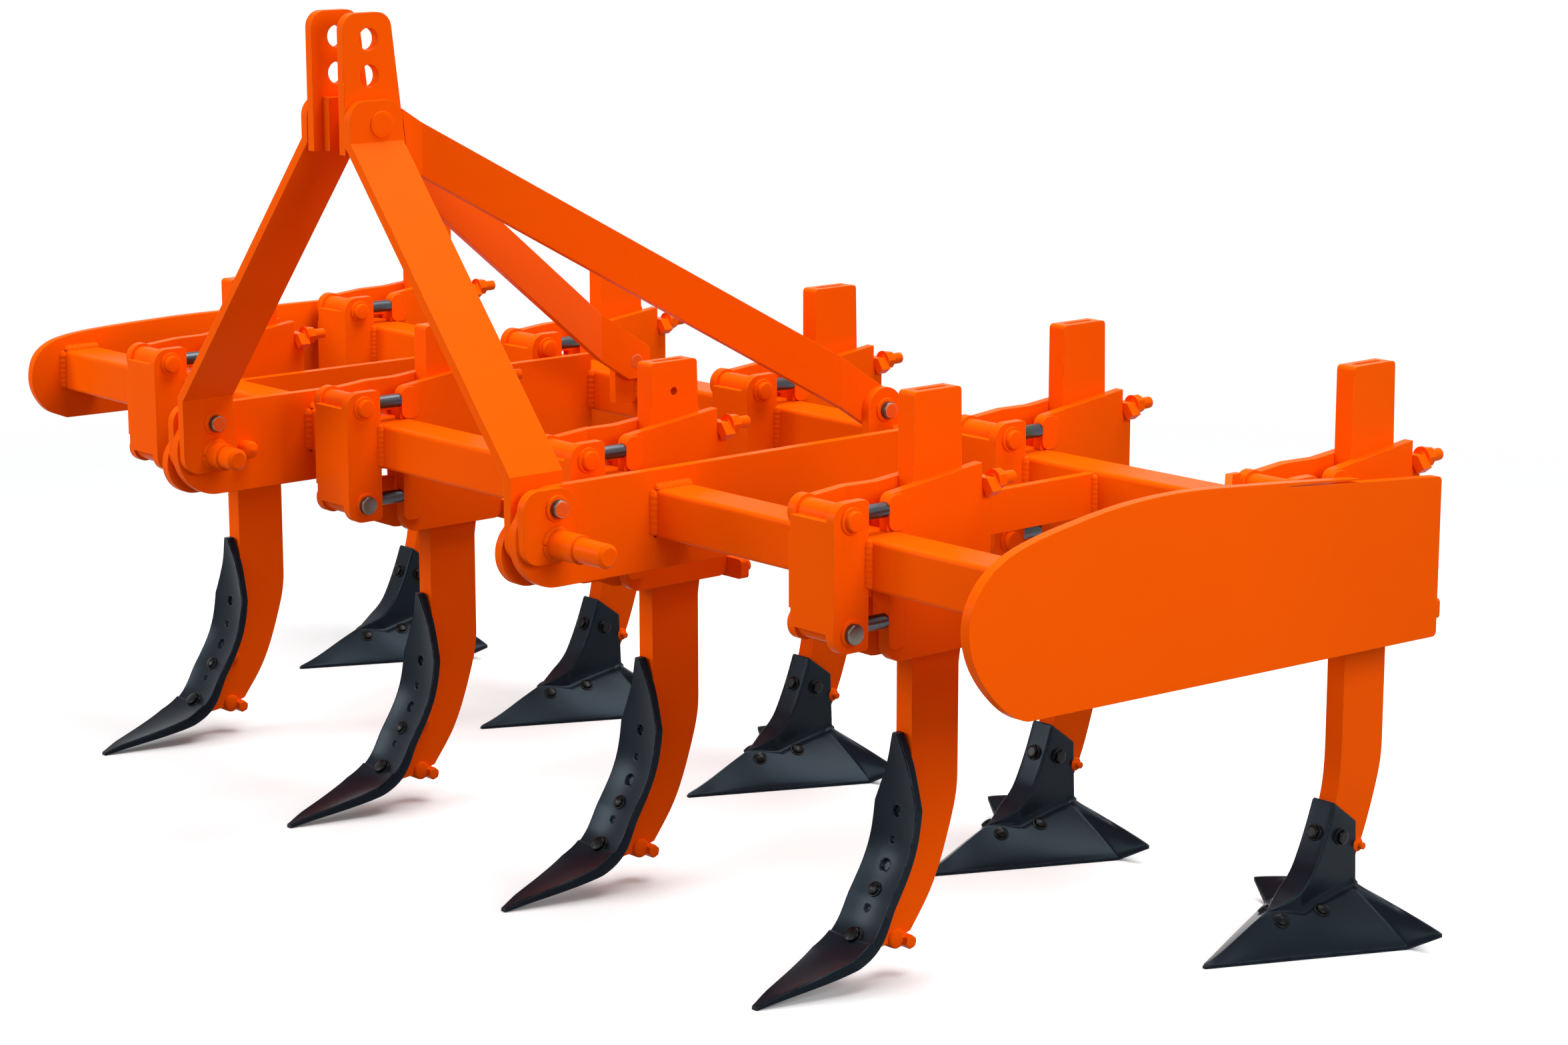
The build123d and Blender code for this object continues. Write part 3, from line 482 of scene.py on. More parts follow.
# The two rows: the middles of their tines, the plane of the tines' front faces, the beams
beamClear = 0.092
rows = {
    "front": {"tines": [middle(f"tine_front_{k}", 0) for k in range(1, 5)]},
    "rear": {"tines": [middle(f"tine_rear_{k}", 0) for k in range(1, 6)]},
}
for name, row in rows.items():
    row["y"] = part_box(f"{name}_beam")[0].y + beamClear
    row["beamFront"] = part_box(f"{name}_beam")[0].y
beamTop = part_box("front_beam")[1].z
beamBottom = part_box("front_beam")[0].z


# Clamp bolts: a round head on a washer at the right ear, a plain end at the left eye
clampBoltValues = {
    "ahead": 0.117,
    "heights": (0.530, 0.408),
    "earFace": 0.0421,
    "eyeFace": -0.0396,
    "washer": {"radius": 0.0150, "sink": 0.0004, "proud": 0.0024, "edge": 0.0009},
    "collar": {"radius": 0.0165, "sink": 0.0004, "proud": 0.0022, "edge": 0.0009},
    "head": {"radius": 0.0113, "sink": 0.0, "proud": 0.0092, "edge": 0.0018, "dome": 0.0005},
    "end": {"radius": 0.0098, "sink": 0.0, "proud": 0.0092, "edge": 0.0016, "dome": 0.0006},
    # Finish of each row's bolts, from the left: most are painted over
    "lower": {"front": ("black", "plated", "orange", "plated"), "rear": ("orange",) * 5},
    "upper": {"front": ("orange",) * 4, "rear": ("orange", "orange", "orange", "orange", "plated")},
}


def clampWashers(x0, y0, z):
    # What is painted round the bolt: its washer at the ear, a collar and the bolt's end at the eye.
    values = clampBoltValues
    ear = (x0 + values["earFace"], y0 - values["ahead"], z)
    eye = (x0 + values["eyeFace"], y0 - values["ahead"], z)
    return [
        disc(ear, (1, 0, 0), values["washer"]),
        disc(eye, (-1, 0, 0), values["collar"]),
        disc(eye, (-1, 0, 0), values["end"]),
    ]


def clampHead(x0, y0, z):
    values = clampBoltValues
    ear = (x0 + values["earFace"], y0 - values["ahead"], z)
    return [disc(ear, (1, 0, 0), values["head"], count=40)]


boltFinish = {
    "orange": (orangePaint, "orange_paint"),
    "plated": (platedSteel, "bare_steel"),
    "black": (blackSteel, "bare_steel"),
}
for rowName, row in rows.items():
    washers = []
    heads = {finish: [] for finish in boltFinish}
    for k, x0 in enumerate(row["tines"]):
        for level, z in zip(("upper", "lower"), clampBoltValues["heights"]):
            washers += clampWashers(x0, row["y"], z)
            heads[clampBoltValues[level][rowName][k]] += clampHead(x0, row["y"], z)
    makePiece(f"clampWashers_{rowName}", washers, orangePaint)
    for finish, (material, slotName) in boltFinish.items():
        if heads[finish]:
            makePiece(f"clampHeads_{rowName}_{finish}", heads[finish], material)
print("clamp bolts made")


# Nuts and threads on the saddles' studs, behind the tines
saddleNutValues = {
    "side": 0.026,
    "levels": ({"z": 0.543, "seat": 0.1054}, {"z": 0.368, "seat": 0.1174}),
    "washer": {"radius": 0.0125, "sink": 0.0003, "proud": 0.0022, "edge": 0.0008},
    "flats": 0.0205,
    "nutThick": 0.0115,
    "nutTurn": 0.5,  # radians from one tine to the next
    "studEnd": 0.1358,
    "thread": 0.0066,
    "threadDeep": 0.0006,
    "threadHidden": 0.001,
    "pitch": 0.0016,
    "lead": 0.002,
    "leadShare": 0.72,  # of the radius, at the stud's very end
}


def saddleNut(x0, y0, z, seat, spin):
    values = saddleNutValues
    face = (x0 + values["side"], y0 + seat, z)
    nutStart = values["washer"]["proud"]
    nutEnd = nutStart + values["nutThick"]
    # The thread: radius(s) = core + depth * (1 + cos(2 pi s / pitch)) / 2, narrowed over its lead
    along = np.linspace(nutEnd - values["threadHidden"], values["studEnd"] - seat, 49)
    wave = values["threadDeep"] * (0.5 + 0.5 * np.cos(2.0 * np.pi * along / values["pitch"]))
    closing = np.clip((values["studEnd"] - seat - along) / values["lead"], 0.0, 1.0)
    narrowed = values["leadShare"] + (1.0 - values["leadShare"]) * closing
    radius = (values["thread"] + wave) * narrowed
    return (
        [
            disc(face, (0, 1, 0), values["washer"]),
            hexagonal(face, (0, 1, 0), values["flats"], nutStart, nutEnd, spin),
        ],
        [turned(face, (0, 1, 0), np.stack((along, radius), 1), 20)],
    )


for rowName, row in rows.items():
    nuts = []
    threads = []
    for k, x0 in enumerate(row["tines"]):
        for level in saddleNutValues["levels"]:
            spin = saddleNutValues["nutTurn"] * k
            nut, thread = saddleNut(x0, row["y"], level["z"], level["seat"], spin)
            nuts += nut
            threads += thread
    makePiece(f"saddleNuts_{rowName}", nuts, orangePaint)
    makePiece(f"saddleThreads_{rowName}", threads, orangePaint)
print("saddle nuts made")


# Small bolts through the tines' feet
tineBoltValues = {
    "half": 0.0125,
    "front": (
        {"y": -0.015, "z": 0.107, "radius": 0.0075, "proud": 0.0045},
        {"y": -0.022, "z": 0.0415, "radius": 0.0118, "proud": 0.0045},
    ),
    "frontNut": {
        "y": -0.010, "z": 0.0375, "flats": 0.014, "sink": 0.004, "proud": 0.013, "spin": 0.3,
    },
    "rear": ({"y": 0.029, "z": 0.100, "radius": 0.0085, "proud": 0.0055},),
    "rearPin": {
        "y": 0.029, "z": 0.100, "radius": 0.0042, "sink": 0.002, "proud": 0.0125, "edge": 0.0012,
    },
    "edgeShare": 0.35,  # of each bolt's radius
    "dome": 0.0008,
}


def acrossTine(x0, y0, bolt):
    values = tineBoltValues
    spot = (x0, y0 + bolt["y"], bolt["z"])
    reach = values["half"] + bolt["proud"]
    edge = values["edgeShare"] * bolt["radius"]
    profile = rimProfile(bolt["radius"], 0.0, reach, edge, values["dome"])
    return [turned(spot, (1, 0, 0), profile), turned(spot, (-1, 0, 0), profile)]


tineBolts = []
for x0 in rows["front"]["tines"]:
    y0 = rows["front"]["y"]
    for bolt in tineBoltValues["front"]:
        tineBolts += acrossTine(x0, y0, bolt)
    nut = tineBoltValues["frontNut"]
    spot = (x0 + tineBoltValues["half"], y0 + nut["y"], nut["z"])
    start, end = -nut["sink"], nut["proud"]
    tineBolts.append(hexagonal(spot, (1, 0, 0), nut["flats"], start, end, nut["spin"]))
for x0 in rows["rear"]["tines"]:
    y0 = rows["rear"]["y"]
    for bolt in tineBoltValues["rear"]:
        tineBolts += acrossTine(x0, y0, bolt)
    pin = tineBoltValues["rearPin"]
    spot = (x0 + tineBoltValues["half"], y0 + pin["y"], pin["z"])
    tineBolts.append(disc(spot, (1, 0, 0), pin))
makePiece("tineBolts", tineBolts, orangePaint)
print("tine bolts made")


# Shovels: a dished plate along a curved line, with holes down its middle and a thicker point
shovelValues = {
    "half": 0.034,
    # Side view, from the top to the point: how far behind the tine's front face, and how high
    "front": (
        (-0.014, 0.272), (-0.0103, 0.225), (-0.020, 0.150),
        (-0.049, 0.095), (-0.092, 0.042), (-0.217, 0.004),
    ),
    "back": (
        (-0.004, 0.272), (-0.0003, 0.225), (-0.0103, 0.148),
        (-0.0403, 0.088), (-0.0823, 0.032), (-0.217, 0.0),
    ),
    "endHalf": 0.004,
    "topTaper": 0.083,
    "pointTaper": 0.113,
    "perSpan": 48,
    "across": 45,
    "dish": 0.0034,
    "edge": 0.0012,
    "edgeDepth": 0.12,  # of the plate's thickness
    "pointFrom": 0.052,
    "pointRaise": 0.0022,
    "pointFade": 0.030,
    "lip": 0.0012,
    "holes": (
        {"z": 0.183, "radius": 0.0062, "deep": 0.0050},
        {"z": 0.152, "radius": 0.0042, "deep": 0.0030},
        {"z": 0.126, "radius": 0.0068, "deep": 0.0040},
        {"z": 0.082, "radius": 0.0040, "deep": 0.0030},
    ),
    "bolts": (
        {"z": 0.101, "radius": 0.0072, "proud": 0.0052},
        {"z": 0.054, "radius": 0.0095, "proud": 0.0068},
    ),
    "ring": {"share": 1.25, "sink": 0.001, "proud": 0.0016, "edge": 0.0007},
    "head": {"sink": 0.0, "edge": 0.0022, "dome": 0.0010},
}


def shovelPlate(x0, y0):
    # Point(s, t) = front(s) + (back(s) - front(s)) * depth(t) + half(s) * across(t) along X
    # + lift(s, t) along the face's normal, where depth is nought on the front and one on the back.
    values = shovelValues
    front = curveThrough(values["front"], values["perSpan"])
    rear = curveThrough(values["back"], values["perSpan"])
    reach = np.concatenate(([0.0], np.cumsum(np.linalg.norm(np.diff(front, axis=0), axis=1))))
    run = np.gradient(front, axis=0)
    run = run / np.linalg.norm(run, axis=1)[:, None]
    normal = np.stack((run[:, 1], -run[:, 0]), 1)
    fromTop = (values["front"][0][1] - front[:, 1]) / values["topTaper"]
    fromTip = (front[:, 0] - values["front"][-1][0]) / values["pointTaper"]
    taper = np.clip(np.minimum(fromTop, fromTip), 0.0, 1.0)
    half = values["endHalf"] + (values["half"] - values["endHalf"]) * taper
    # Across the plate: the front face, a chamfer, the side and the back
    inner = np.linspace(-1.0, 1.0, values["across"])
    across = np.concatenate((inner, (1.0, 1.0, -1.0, -1.0)))
    chamfer = values["edgeDepth"]
    depth = np.concatenate((np.zeros(values["across"]), (chamfer, 1.0, 1.0, chamfer)))
    side = across[None, :] * half[:, None]
    frontCorner = (np.abs(across) == 1.0) & (depth == 0.0)
    side = side - np.sign(side) * values["edge"] * frontCorner[None, :]
    dish = -values["dish"] * (1.0 - across**2)[None, :] * smoothStep(taper)[:, None]
    past = smoothStep((values["pointFrom"] - front[:, 1]) / values["lip"])
    fade = smoothStep((reach[-1] - reach) / values["pointFade"])
    lift = dish + (values["pointRaise"] * past * fade)[:, None]
    for hole in values["holes"]:
        station = np.interp(-hole["z"], -front[:, 1], reach)
        away = np.hypot(side, (reach - station)[:, None])
        lift = lift - hole["deep"] * smoothStep((hole["radius"] - away) / values["lip"])
    lift = lift * (1.0 - depth)[None, :]
    points = np.zeros(side.shape + (3,))
    points[:, :, 0] = x0 + side
    for k in range(2):
        line = front[:, k, None] + (rear[:, k] - front[:, k])[:, None] * depth[None, :]
        points[:, :, k + 1] = line + lift * normal[:, k, None]
    points[:, :, 1] += y0
    return surface(points, closed=True, capped=True), front, normal, reach


for k, x0 in enumerate(rows["front"]["tines"]):
    y0 = rows["front"]["y"]
    plate, front, normal, reach = shovelPlate(x0, y0)
    name, solid = f"shovelPlate_{k + 1}", f"shovel_front_{k + 1}"
    makePiece(name, [plate], shareSteel, sharp=40.0, replaced=(solid,))
    bolts = []
    for bolt in shovelValues["bolts"]:
        spot = np.array([np.interp(-bolt["z"], -front[:, 1], front[:, side]) for side in range(2)])
        way = np.array([np.interp(-bolt["z"], -front[:, 1], normal[:, side]) for side in range(2)])
        spot = spot - way * shovelValues["dish"]
        centre = (x0, y0 + spot[0], spot[1])
        axis = (0.0, way[0], way[1])
        ring = shovelValues["ring"]
        bolts.append(disc(centre, axis, ring, bolt["radius"] * ring["share"]))
        bolts.append(disc(centre, axis, dict(shovelValues["head"], **bolt)))
    makePiece(f"shovelBolts_{k + 1}", bolts, blackSteel)
print("shovels made")


# Sweeps: two wings on a ridge that rises and parts into the neck round the tine's foot
sweepValues = {
    "tipAhead": 0.209,
    # Behind the tip: half the width, the cutting edge's underside, the ridge
    "outline": (
        (0.0, 0.002, 0.0, 0.004),
        (0.032, 0.017, 0.0, 0.015),
        (0.0775, 0.0383, 0.0, 0.035),
        (0.114, 0.0554, 0.0, 0.049),
        (0.150, 0.0723, 0.0, 0.058),
        (0.222, 0.106, 0.0, 0.066),
        (0.2398, 0.1406, 0.0196, 0.056),
    ),
    # Behind the tip: the height of the neck's curved front, then of its sloping top and its back
    "neck": (
        (0.090, 0.039), (0.114, 0.049), (0.140, 0.062), (0.158, 0.078),
        (0.171, 0.100), (0.184, 0.129), (0.195, 0.158), (0.233, 0.130), (0.2355, 0.050),
    ),
    "neckCurved": 7,
    "neckHalf": 0.0165,
    "neckOpens": (0.094, 0.144),
    "rim": 0.0042,
    "wingThick": 0.0091,
    "cupping": 0.88,
    "flare": 0.009,
    "flareShare": 0.55,  # of the neck's height there, at most
    "corner": 0.0024,
    "cornerShare": 0.25,  # the same
    "thinnest": 0.001,
    "rimDrop": 0.0015,
    "stations": 170,
    "wingBolts": (
        {"x": 0.016, "behind": 0.110},
        {"x": 0.0295, "behind": 0.163},
        {"x": -0.030, "behind": 0.176},
        {"x": -0.026, "behind": 0.150},
        {"x": -0.022, "behind": 0.124},
    ),
    "boltHead": {"radius": 0.0074, "sink": 0.0, "proud": 0.0046, "edge": 0.0016, "dome": 0.0010},
    "boltRing": {"radius": 0.00962, "sink": 0.003, "proud": 0.0010, "edge": 0.0006},
    "neckFrontZ": 0.122,
    "neckSide": {"y": -0.003, "z": 0.116},
    "neckRing": {"radius": 0.0100, "sink": 0.001, "proud": 0.0014, "edge": 0.0007},
    "neckNut": {"flats": 0.0152, "start": 0.001, "end": 0.0064, "spin": 0.3},
    "dropFrom": 0.3,  # how far off each bolt's line to its seat starts
}


def sweepShell(x0, tipY):
    # Each cross-section, from the right cutting edge to the middle: the wing, where height(x) =
    # edge + (ridge - edge) * (1 - x / half)^cupping; a quarter-round flare up to the neck's wall;
    # the wall; its rounded corner; the neck's flat face. The left half mirrors it and the
    # underside closes it.
    values = sweepValues
    behind = np.linspace(0.0, values["outline"][-1][0], values["stations"])[:, None]
    outline = np.array(values["outline"])
    half = np.interp(behind, outline[:, 0], outline[:, 1])
    low = np.interp(behind, outline[:, 0], outline[:, 2])
    ridgeLine = curveThrough(outline[:, (0, 3)], 16)
    ridge = np.interp(behind, ridgeLine[:, 0], ridgeLine[:, 1])
    neck = np.array(values["neck"])
    curved = values["neckCurved"]
    topLine = np.concatenate((curveThrough(neck[:curved], 12), neck[curved:]))
    crest = np.maximum(ridge, np.interp(behind, topLine[:, 0], topLine[:, 1], left=0.0))
    opens, opened = values["neckOpens"]
    topHalf = values["neckHalf"] * smoothStep((behind - opens) / (opened - opens))
    rim = np.minimum(values["rim"], ridge - values["rimDrop"])

    def wing(x):
        share = np.clip(1.0 - x / half, 0.0, 1.0) ** values["cupping"]
        return low + rim + (ridge - low - rim) * share

    rise = np.maximum(crest - wing(topHalf), 0.0)
    flare = np.minimum(values["flare"], values["flareShare"] * rise)
    corner = np.minimum(values["corner"], values["cornerShare"] * rise)
    foot = wing(topHalf + flare)
    t = np.linspace(0.0, 1.0, 20)[None, :]
    turn = np.linspace(0.0, np.pi / 2.0, 9)[None, 1:]
    wingX = half + (topHalf + flare - half) * t
    flareX = topHalf + flare * (1.0 - np.sin(turn))
    flareZ = foot + flare * (1.0 - np.cos(turn))
    wall = np.linspace(0.0, 1.0, 6)[None, 1:]
    wallZ = foot + flare + (crest - corner - foot - flare) * wall
    cornerX = topHalf - corner * (1.0 - np.cos(turn[:, 1::2]))
    cornerZ = crest - corner * (1.0 - np.sin(turn[:, 1::2]))
    face = np.linspace(1.0, 0.0, 4)[None, 1:]
    faceX = (topHalf - corner) * face
    side = np.concatenate((wingX, flareX, topHalf + 0.0 * wall, cornerX, faceX), 1)
    height = np.concatenate((wing(wingX), flareZ, wallZ, cornerZ, crest + 0.0 * face), 1)
    drop = np.minimum(values["wingThick"], ridge - values["thinnest"])
    under = np.linspace(-1.0, 1.0, 9)[None, :]
    side = np.concatenate((side, -side[:, -2::-1], half * under), 1)
    underside = low + (ridge - drop - low) * (1.0 - np.abs(under))
    height = np.concatenate((height, height[:, -2::-1], underside), 1)
    points = np.stack((x0 + side, tipY + behind + 0.0 * side, height), -1)
    return surface(points, closed=True, capped=True)


def makeSweep(k, x0, y0):
    values = sweepValues
    tipY = y0 - values["tipAhead"]
    shell = sweepShell(x0, tipY)
    solid = f"sweep_rear_{k}"
    makePiece(f"sweepShell_{k}", [shell], shareSteel, sharp=32.0, replaced=(solid,))
    tree = BVHTree.FromPolygons(shell[0].tolist(), shell[1])
    bolts = []
    for bolt in values["wingBolts"]:
        above = (x0 + bolt["x"], tipY + bolt["behind"], values["dropFrom"])
        spot, way = seatOn(tree, above, (0.0, 0.0, -1.0))
        bolts.append(disc(spot, way, values["boltRing"]))
        bolts.append(disc(spot, way, values["boltHead"]))
    seats = [seatOn(tree, (x0, y0 - values["dropFrom"], values["neckFrontZ"]), (0.0, 1.0, 0.0))]
    for side in (-1.0, 1.0):
        level = values["neckSide"]
        seat = (x0 + side * values["neckHalf"], y0 + level["y"], level["z"])
        seats.append((seat, (side, 0.0, 0.0)))
    nut = values["neckNut"]
    for spot, way in seats:
        bolts.append(disc(spot, way, values["neckRing"]))
        bolts.append(hexagonal(spot, way, nut["flats"], nut["start"], nut["end"], nut["spin"]))
    makePiece(f"sweepBolts_{k}", bolts, blackSteel)


for k, x0 in enumerate(rows["rear"]["tines"]):
    makeSweep(k + 1, x0, rows["rear"]["y"])
print("sweeps made")


# Left end plate: a round nose that runs into a nearly level top edge, cut straight behind and below
endPlateValues = {
    # Behind the front row's tine faces, and above the beams' top
    "edge": (
        (-0.090, -0.096), (-0.120, -0.082), (-0.138, -0.058), (-0.143, -0.034),
        (-0.137, -0.008), (-0.120, 0.009), (-0.092, 0.019), (-0.039, 0.025),
        (0.064, 0.029), (0.157, 0.030), (0.388, 0.028),
    ),
    "back": ((0.5435, 0.0240), (0.5450, 0.0200), (0.5450, -0.1000), (0.5435, -0.1038)),
    "rimRound": 0.0012,
}


def makeEndPlateLeft():
    # Rings of the outline, moved inwards along its normal by the rounding at each rim.
    values = endPlateValues
    outline = np.concatenate((curveThrough(values["edge"], 12), values["back"]))
    outline = outline + (rows["front"]["y"], beamTop)
    run = np.roll(outline, -1, 0) - np.roll(outline, 1, 0)
    inward = np.stack((run[:, 1], -run[:, 0]), 1) / np.linalg.norm(run, axis=1)[:, None]
    low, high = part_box("end_plate_left")
    turn = np.linspace(0.0, np.pi / 2.0, 4)
    inset = values["rimRound"] * (1.0 - np.sin(turn))
    depth = values["rimRound"] * (1.0 - np.cos(turn))
    xs = np.concatenate((low.x + depth, high.x - depth[::-1]))
    insets = np.concatenate((inset, inset[::-1]))
    rings = outline[None] + insets[:, None, None] * inward[None]
    across = np.broadcast_to(xs[:, None, None], rings.shape[:2] + (1,))
    points = np.concatenate((across, rings), -1)
    plate = surface(points, closed=True, capped=True)
    makePiece("endPlateLeft", [plate], orangePaint, replaced=("end_plate_left",))


makeEndPlateLeft()
print("left end plate made")


# Thickness of the legs' flat bar, and of the lugs, long plates and spacer bars
barThick = 0.0116
plateThick = 0.012

# Hitch bolts with painted faces, the stub behind the left pin and the cap on the mast's sleeve
hitchValues = {
    "boltY": middle("hitch_pin_right", 1),
    "boltZ": 0.506,
    "washer": {"radius": 0.0150, "sink": 0.0005, "proud": 0.0030, "edge": 0.0010},
    "head": {"radius": 0.0104, "sink": 0.0, "proud": 0.0112, "edge": 0.0012},
    "face": {"radius": 0.0093, "sink": 0.0004, "proud": 0.0006, "edge": 0.0004},
    "stubX": -0.3430,
    "stubBehind": 0.050,
    "stub": {"radius": 0.011, "sink": 0.001, "proud": 0.019, "edge": 0.006, "dome": 0.002},
    "capY": -0.395,
    "capZ": 0.906,
    "cap": {"radius": 0.0155, "sink": 0.0005, "proud": 0.0022, "edge": 0.0010},
    "lugBoltDown": 0.028,
}


def platedHead(spot, axis):
    # A washer, a round head with a painted highlight on its sides, and a thin painted face on it.
    values = hitchValues
    top = np.asarray(spot) + values["head"]["proud"] * np.asarray(axis, float)
    return (
        disc(spot, axis, values["washer"]),
        disc(spot, axis, values["head"], count=40),
        disc(top, axis, values["face"], count=40),
    )


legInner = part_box("headstock_leg_left")[0].x + barThick
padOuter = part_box("hitch_plate_right")[1].x
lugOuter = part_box("brace_lug_right")[1].x
lugY = middle("brace_lug_right", 1)
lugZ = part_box("brace_lug_right")[1].z - hitchValues["lugBoltDown"]
hitchBolts = [
    platedHead((padOuter, hitchValues["boltY"], hitchValues["boltZ"]), (1, 0, 0)),
    platedHead((legInner, hitchValues["boltY"], hitchValues["boltZ"]), (1, 0, 0)),
    platedHead((lugOuter, lugY, lugZ), (1, 0, 0)),
    platedHead((-lugOuter + plateThick, lugY, lugZ), (1, 0, 0)),
]
washers, heads, faces = zip(*hitchBolts)
stubY = hitchValues["boltY"] + hitchValues["stubBehind"]
stubSpot = (hitchValues["stubX"], stubY, middle("hitch_pin_left", 2))
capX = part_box("headstock_leg_right")[0].x + barThick
capSpot = (capX, hitchValues["capY"], hitchValues["capZ"])
painted = list(washers)
painted.append(disc(stubSpot, (1, 0, 0), hitchValues["stub"], count=40))
painted.append(disc(capSpot, (1, 0, 0), hitchValues["cap"]))
makePiece("hitchWashers", painted, orangePaint)
makePiece("hitchBoltHeads", heads, platedSteel)
makePiece("hitchBoltFaces", faces, copperPaint)
print("hitch bolts made")


# Welds: each a line between two points with the two ways along the faces that it joins
weldValues = {
    "beamLeg": 0.0062,
    "plateLeg": 0.0050,
    "earLeg": 0.0055,
    "padLeg": 0.0035,
    "ringLeg": 0.0035,
    "ringRib": 0.10,
    "ringRadius": 0.0165,
    "short": 0.002,
    "padTop": 0.520,
    "padFoot": 0.02,
    "cheekTop": 0.490,
    "earFaces": (0.042, 0.030),  # beside the middle of each tine
    "beamLap": 0.001,
}
short = weldValues["short"]
right, left = np.array((1.0, 0, 0)), np.array((-1.0, 0, 0))
ahead, behind = np.array((0, -1.0, 0)), np.array((0, 1.0, 0))
upward = np.array((0, 0, 1.0))


def beamWelds(x, y, side):
    # Up the beam's front face and back over its top, on one side of a plate that crosses it.
    leg = weldValues["beamLeg"]
    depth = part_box("front_beam")[1].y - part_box("front_beam")[0].y
    return [
        weldBead([(x, y, beamBottom + short), (x, y, beamTop)], side, ahead, leg),
        weldBead([(x, y, beamTop), (x, y + depth, beamTop)], side, upward, leg),
    ]


def ringWeld(x, y, z, radius, way):
    angle = np.linspace(0.0, 2.0 * np.pi, 49)[:, None]
    out = np.cos(angle) * ahead + np.sin(angle) * upward
    line = np.array((x, y, z)) + radius * out
    return weldBead(line, out, way, weldValues["ringLeg"], weldValues["ringRib"])


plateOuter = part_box("hitch_plate_right")[1].x - plateThick
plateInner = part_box("hitch_plate_right")[0].x
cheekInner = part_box("hitch_cheek_right")[0].x
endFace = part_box("end_plate_right")[0].x
welds = []
for s, outer, inner in ((1.0, right, left), (-1.0, left, right)):
    frontY = rows["front"]["beamFront"]
    welds += beamWelds(s * plateOuter, frontY, outer)
    welds += beamWelds(s * plateInner, frontY, inner)
    for row in rows.values():
        welds += beamWelds(s * endFace, row["beamFront"], inner)
    rearFront = rows["rear"]["beamFront"]
    for x, way in ((s * plateOuter, outer), (s * plateInner, inner)):
        line = [(x, rearFront, beamBottom + short), (x, rearFront, beamTop)]
        welds.append(weldBead(line, way, ahead, weldValues["beamLeg"]))
    # The pad's rear rim on the long plate
    pad = s * plateOuter
    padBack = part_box("headstock_leg_right")[1].y
    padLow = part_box("headstock_leg_right")[0].z + weldValues["padFoot"]
    line = [(pad, padBack, weldValues["padTop"]), (pad, padBack, padLow)]
    welds.append(weldBead(line, outer, behind, weldValues["padLeg"]))
    # Cheeks on the front beam
    cheek = s * cheekInner
    line = [(cheek, frontY, beamBottom + short), (cheek, frontY, weldValues["cheekTop"])]
    welds.append(weldBead(line, inner, ahead, weldValues["plateLeg"]))
    # Brace lugs on the rear beam's top and front corner
    low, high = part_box("brace_lug_right")
    for face, way in ((s * high.x, outer), (s * low.x, inner)):
        top = [(face, rearFront, beamTop), (face, high.y, beamTop)]
        welds.append(weldBead(top, way, upward, weldValues["plateLeg"]))
        down = [(face, rearFront, beamTop), (face, rearFront, low.z + short)]
        welds.append(weldBead(down, way, ahead, weldValues["plateLeg"]))
pinY, pinZ = hitchValues["boltY"], middle("hitch_pin_right", 2)
for face in (padOuter, legInner):
    welds.append(ringWeld(face, pinY, pinZ, weldValues["ringRadius"], right))
makePiece("frameWelds", welds, orangePaint, sharp=50.0)

# Spacer bars between the beams and the clamps' ears on the beams' front faces
barWelds = []
barLow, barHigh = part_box("spacer_bars")
for s, inner, outer in ((1.0, left, right), (-1.0, right, left)):
    for face, way in ((s * (barHigh.x - plateThick), inner), (s * barHigh.x, outer)):
        for y, facing in ((barLow.y, behind), (barHigh.y, ahead)):
            line = [(face, y, barLow.z + short), (face, y, barHigh.z - weldValues["beamLap"])]
            barWelds.append(weldBead(line, way, facing, weldValues["plateLeg"]))
for row in rows.values():
    for x0 in row["tines"]:
        for reach, way in zip(weldValues["earFaces"], (right, left)):
            x, y = x0 + reach, row["beamFront"]
            line = [(x, y, beamBottom + short), (x, y, beamTop + weldValues["beamLap"])]
            barWelds.append(weldBead(line, way, ahead, weldValues["earLeg"]))
makePiece("clampWelds", barWelds, orangePaint, sharp=50.0)
print("welds made")


# Studio: a white surround, a pale floor that fades into it, and large soft lights
studioValues = {
    "surround": 1.0,
    "fill": 0.31,
    "floorColour": (0.840, 0.868, 0.873, 1.0),
    "floorBounce": (0.24, 0.24, 0.24, 1.0),
    "floorLift": 0.04,
    "floorHub": 0.02,
    "floorRadius": 3.4,
    "floorSides": 64,
    "fadeFrom": 1.5,
    "fadeTo": 3.2,
    "lights": [
        {
            "name": "keyLight",
            "place": (-0.9, -4.4, 3.0),
            "target": (0.0, 0.0, 0.4),
            "size": (2.4, 2.0),
            "power": 90.0,
        },
        {
            "name": "shovelLight",
            "place": (-2.2, -2.8, 1.6),
            "target": (0.3, -0.2, 0.15),
            "size": (1.1, 1.1),
            "power": 44.0,
        },
        {
            "name": "topLight",
            "place": (0.2, 0.9, 3.8),
            "target": (0.0, 0.0, 0.2),
            "size": (3.0, 2.2),
            "power": 175.0,
        },
        {
            "name": "sideLight",
            "place": (2.9, -0.3, 1.5),
            "target": (0.9, 0.0, 0.4),
            "size": (1.4, 1.2),
            "power": 36.0,
        },
    ],
}


def anySeenRay(tree, x, y):
    # One for rays that the camera, a mirror or glass sees.
    path = addNode(tree, "ShaderNodeLightPath", x, y)
    first = addNode(tree, "ShaderNodeMath", x + 200, y, operation="MAXIMUM")
    second = addNode(tree, "ShaderNodeMath", x + 400, y, operation="MAXIMUM")
    tree.links.new(path.outputs["Is Camera Ray"], first.inputs[0])
    tree.links.new(path.outputs["Is Glossy Ray"], first.inputs[1])
    tree.links.new(first.outputs[0], second.inputs[0])
    tree.links.new(path.outputs["Is Transmission Ray"], second.inputs[1])
    return second


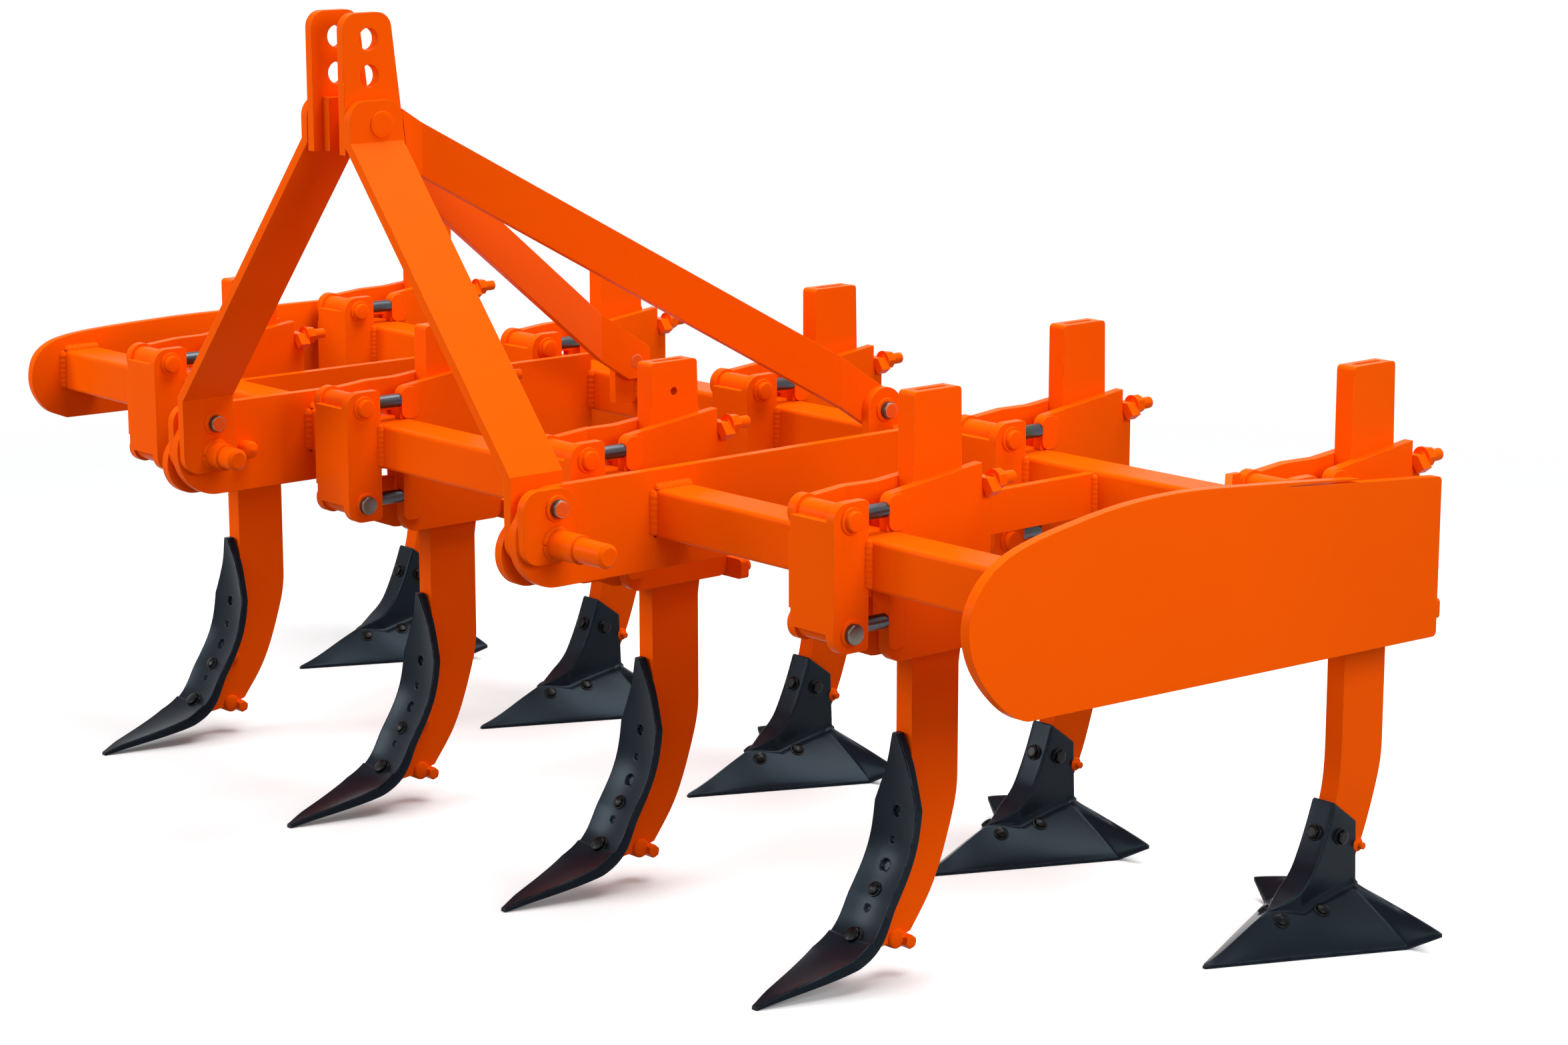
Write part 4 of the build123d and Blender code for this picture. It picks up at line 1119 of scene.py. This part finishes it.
def makeWorld():
    world = bpy.data.worlds.new("studio")
    scene.world = world
    world.use_nodes = True
    tree = world.node_tree
    tree.nodes.clear()
    output = addNode(tree, "ShaderNodeOutputWorld", 600, 0)
    seen = addNode(tree, "ShaderNodeBackground", 0, 150)
    setInputs(seen, {"Color": (1.0, 1.0, 1.0, 1.0), "Strength": studioValues["surround"]})
    lit = addNode(tree, "ShaderNodeBackground", 0, -150)
    setInputs(lit, {"Color": (1.0, 1.0, 1.0, 1.0), "Strength": studioValues["fill"]})
    mix = addNode(tree, "ShaderNodeMixShader", 300, 0)
    tree.links.new(anySeenRay(tree, -600, 300).outputs[0], mix.inputs["Fac"])
    tree.links.new(lit.outputs[0], mix.inputs[1])
    tree.links.new(seen.outputs[0], mix.inputs[2])
    tree.links.new(mix.outputs[0], output.inputs["Surface"])


def makeFloorMaterial():
    # Pale and matt where it is seen, darker where it only throws light back, lifted to white for
    # seen rays, and clear towards its rim.
    material, tree, shader = newMaterial("studioFloor")
    setInputs(shader, {"Roughness": 1.0, "Specular IOR Level": 0.0})
    tone = addNode(tree, "ShaderNodeMix", 300, 400, data_type="RGBA")
    setInputs(tone, {"A": studioValues["floorBounce"], "B": studioValues["floorColour"]})
    tree.links.new(anySeenRay(tree, -400, 500).outputs[0], tone.inputs["Factor"])
    tree.links.new(tone.outputs["Result"], shader.inputs["Base Color"])
    setInputs(shader, {"Emission Color": (1.0, 1.0, 1.0, 1.0)})
    lift = addNode(tree, "ShaderNodeMath", 300, -300, operation="MULTIPLY")
    lift.inputs[1].default_value = studioValues["floorLift"]
    tree.links.new(anySeenRay(tree, -400, -300).outputs[0], lift.inputs[0])
    tree.links.new(lift.outputs[0], shader.inputs["Emission Strength"])
    coords = addNode(tree, "ShaderNodeTexCoord", -400, 200)
    away = addNode(tree, "ShaderNodeVectorMath", -200, 200, operation="LENGTH")
    tree.links.new(coords.outputs["Object"], away.inputs[0])
    fade = addNode(tree, "ShaderNodeMapRange", 100, 200, interpolation_type="SMOOTHSTEP")
    setInputs(fade, {"From Min": studioValues["fadeFrom"], "From Max": studioValues["fadeTo"]})
    setInputs(fade, {"To Min": 1.0, "To Max": 0.0})
    tree.links.new(away.outputs["Value"], fade.inputs["Value"])
    tree.links.new(fade.outputs["Result"], shader.inputs["Alpha"])
    return material


def makeFloor():
    # Point(r, t) = (r cos t, r sin t, 0).
    sides = studioValues["floorSides"]
    radius = np.linspace(studioValues["floorHub"], studioValues["floorRadius"], 12)[:, None]
    angle = np.linspace(0.0, 2.0 * np.pi, sides, endpoint=False)[None, :]
    points = np.stack((radius * np.cos(angle), radius * np.sin(angle), 0.0 * radius * angle), -1)
    flat, faces = surface(points, closed=True)
    faces.append(list(range(sides)))
    mesh = bpy.data.meshes.new("studioFloor")
    mesh.from_pydata(flat.tolist(), [], faces)
    mesh.materials.append(makeFloorMaterial())
    floor = bpy.data.objects.new("studioFloor", mesh)
    scene.collection.objects.link(floor)


makeWorld()
makeFloor()
for values in studioValues["lights"]:
    lightData = bpy.data.lights.new(values["name"], "AREA")
    lightData.shape = "RECTANGLE"
    lightData.size, lightData.size_y = values["size"]
    lightData.energy = values["power"]
    light = bpy.data.objects.new(values["name"], lightData)
    scene.collection.objects.link(light)
    light.location = values["place"]
    light.visible_camera = False
    aim = Vector(values["target"]) - Vector(values["place"])
    light.rotation_euler = aim.to_track_quat("-Z", "Y").to_euler()
print("studio set")
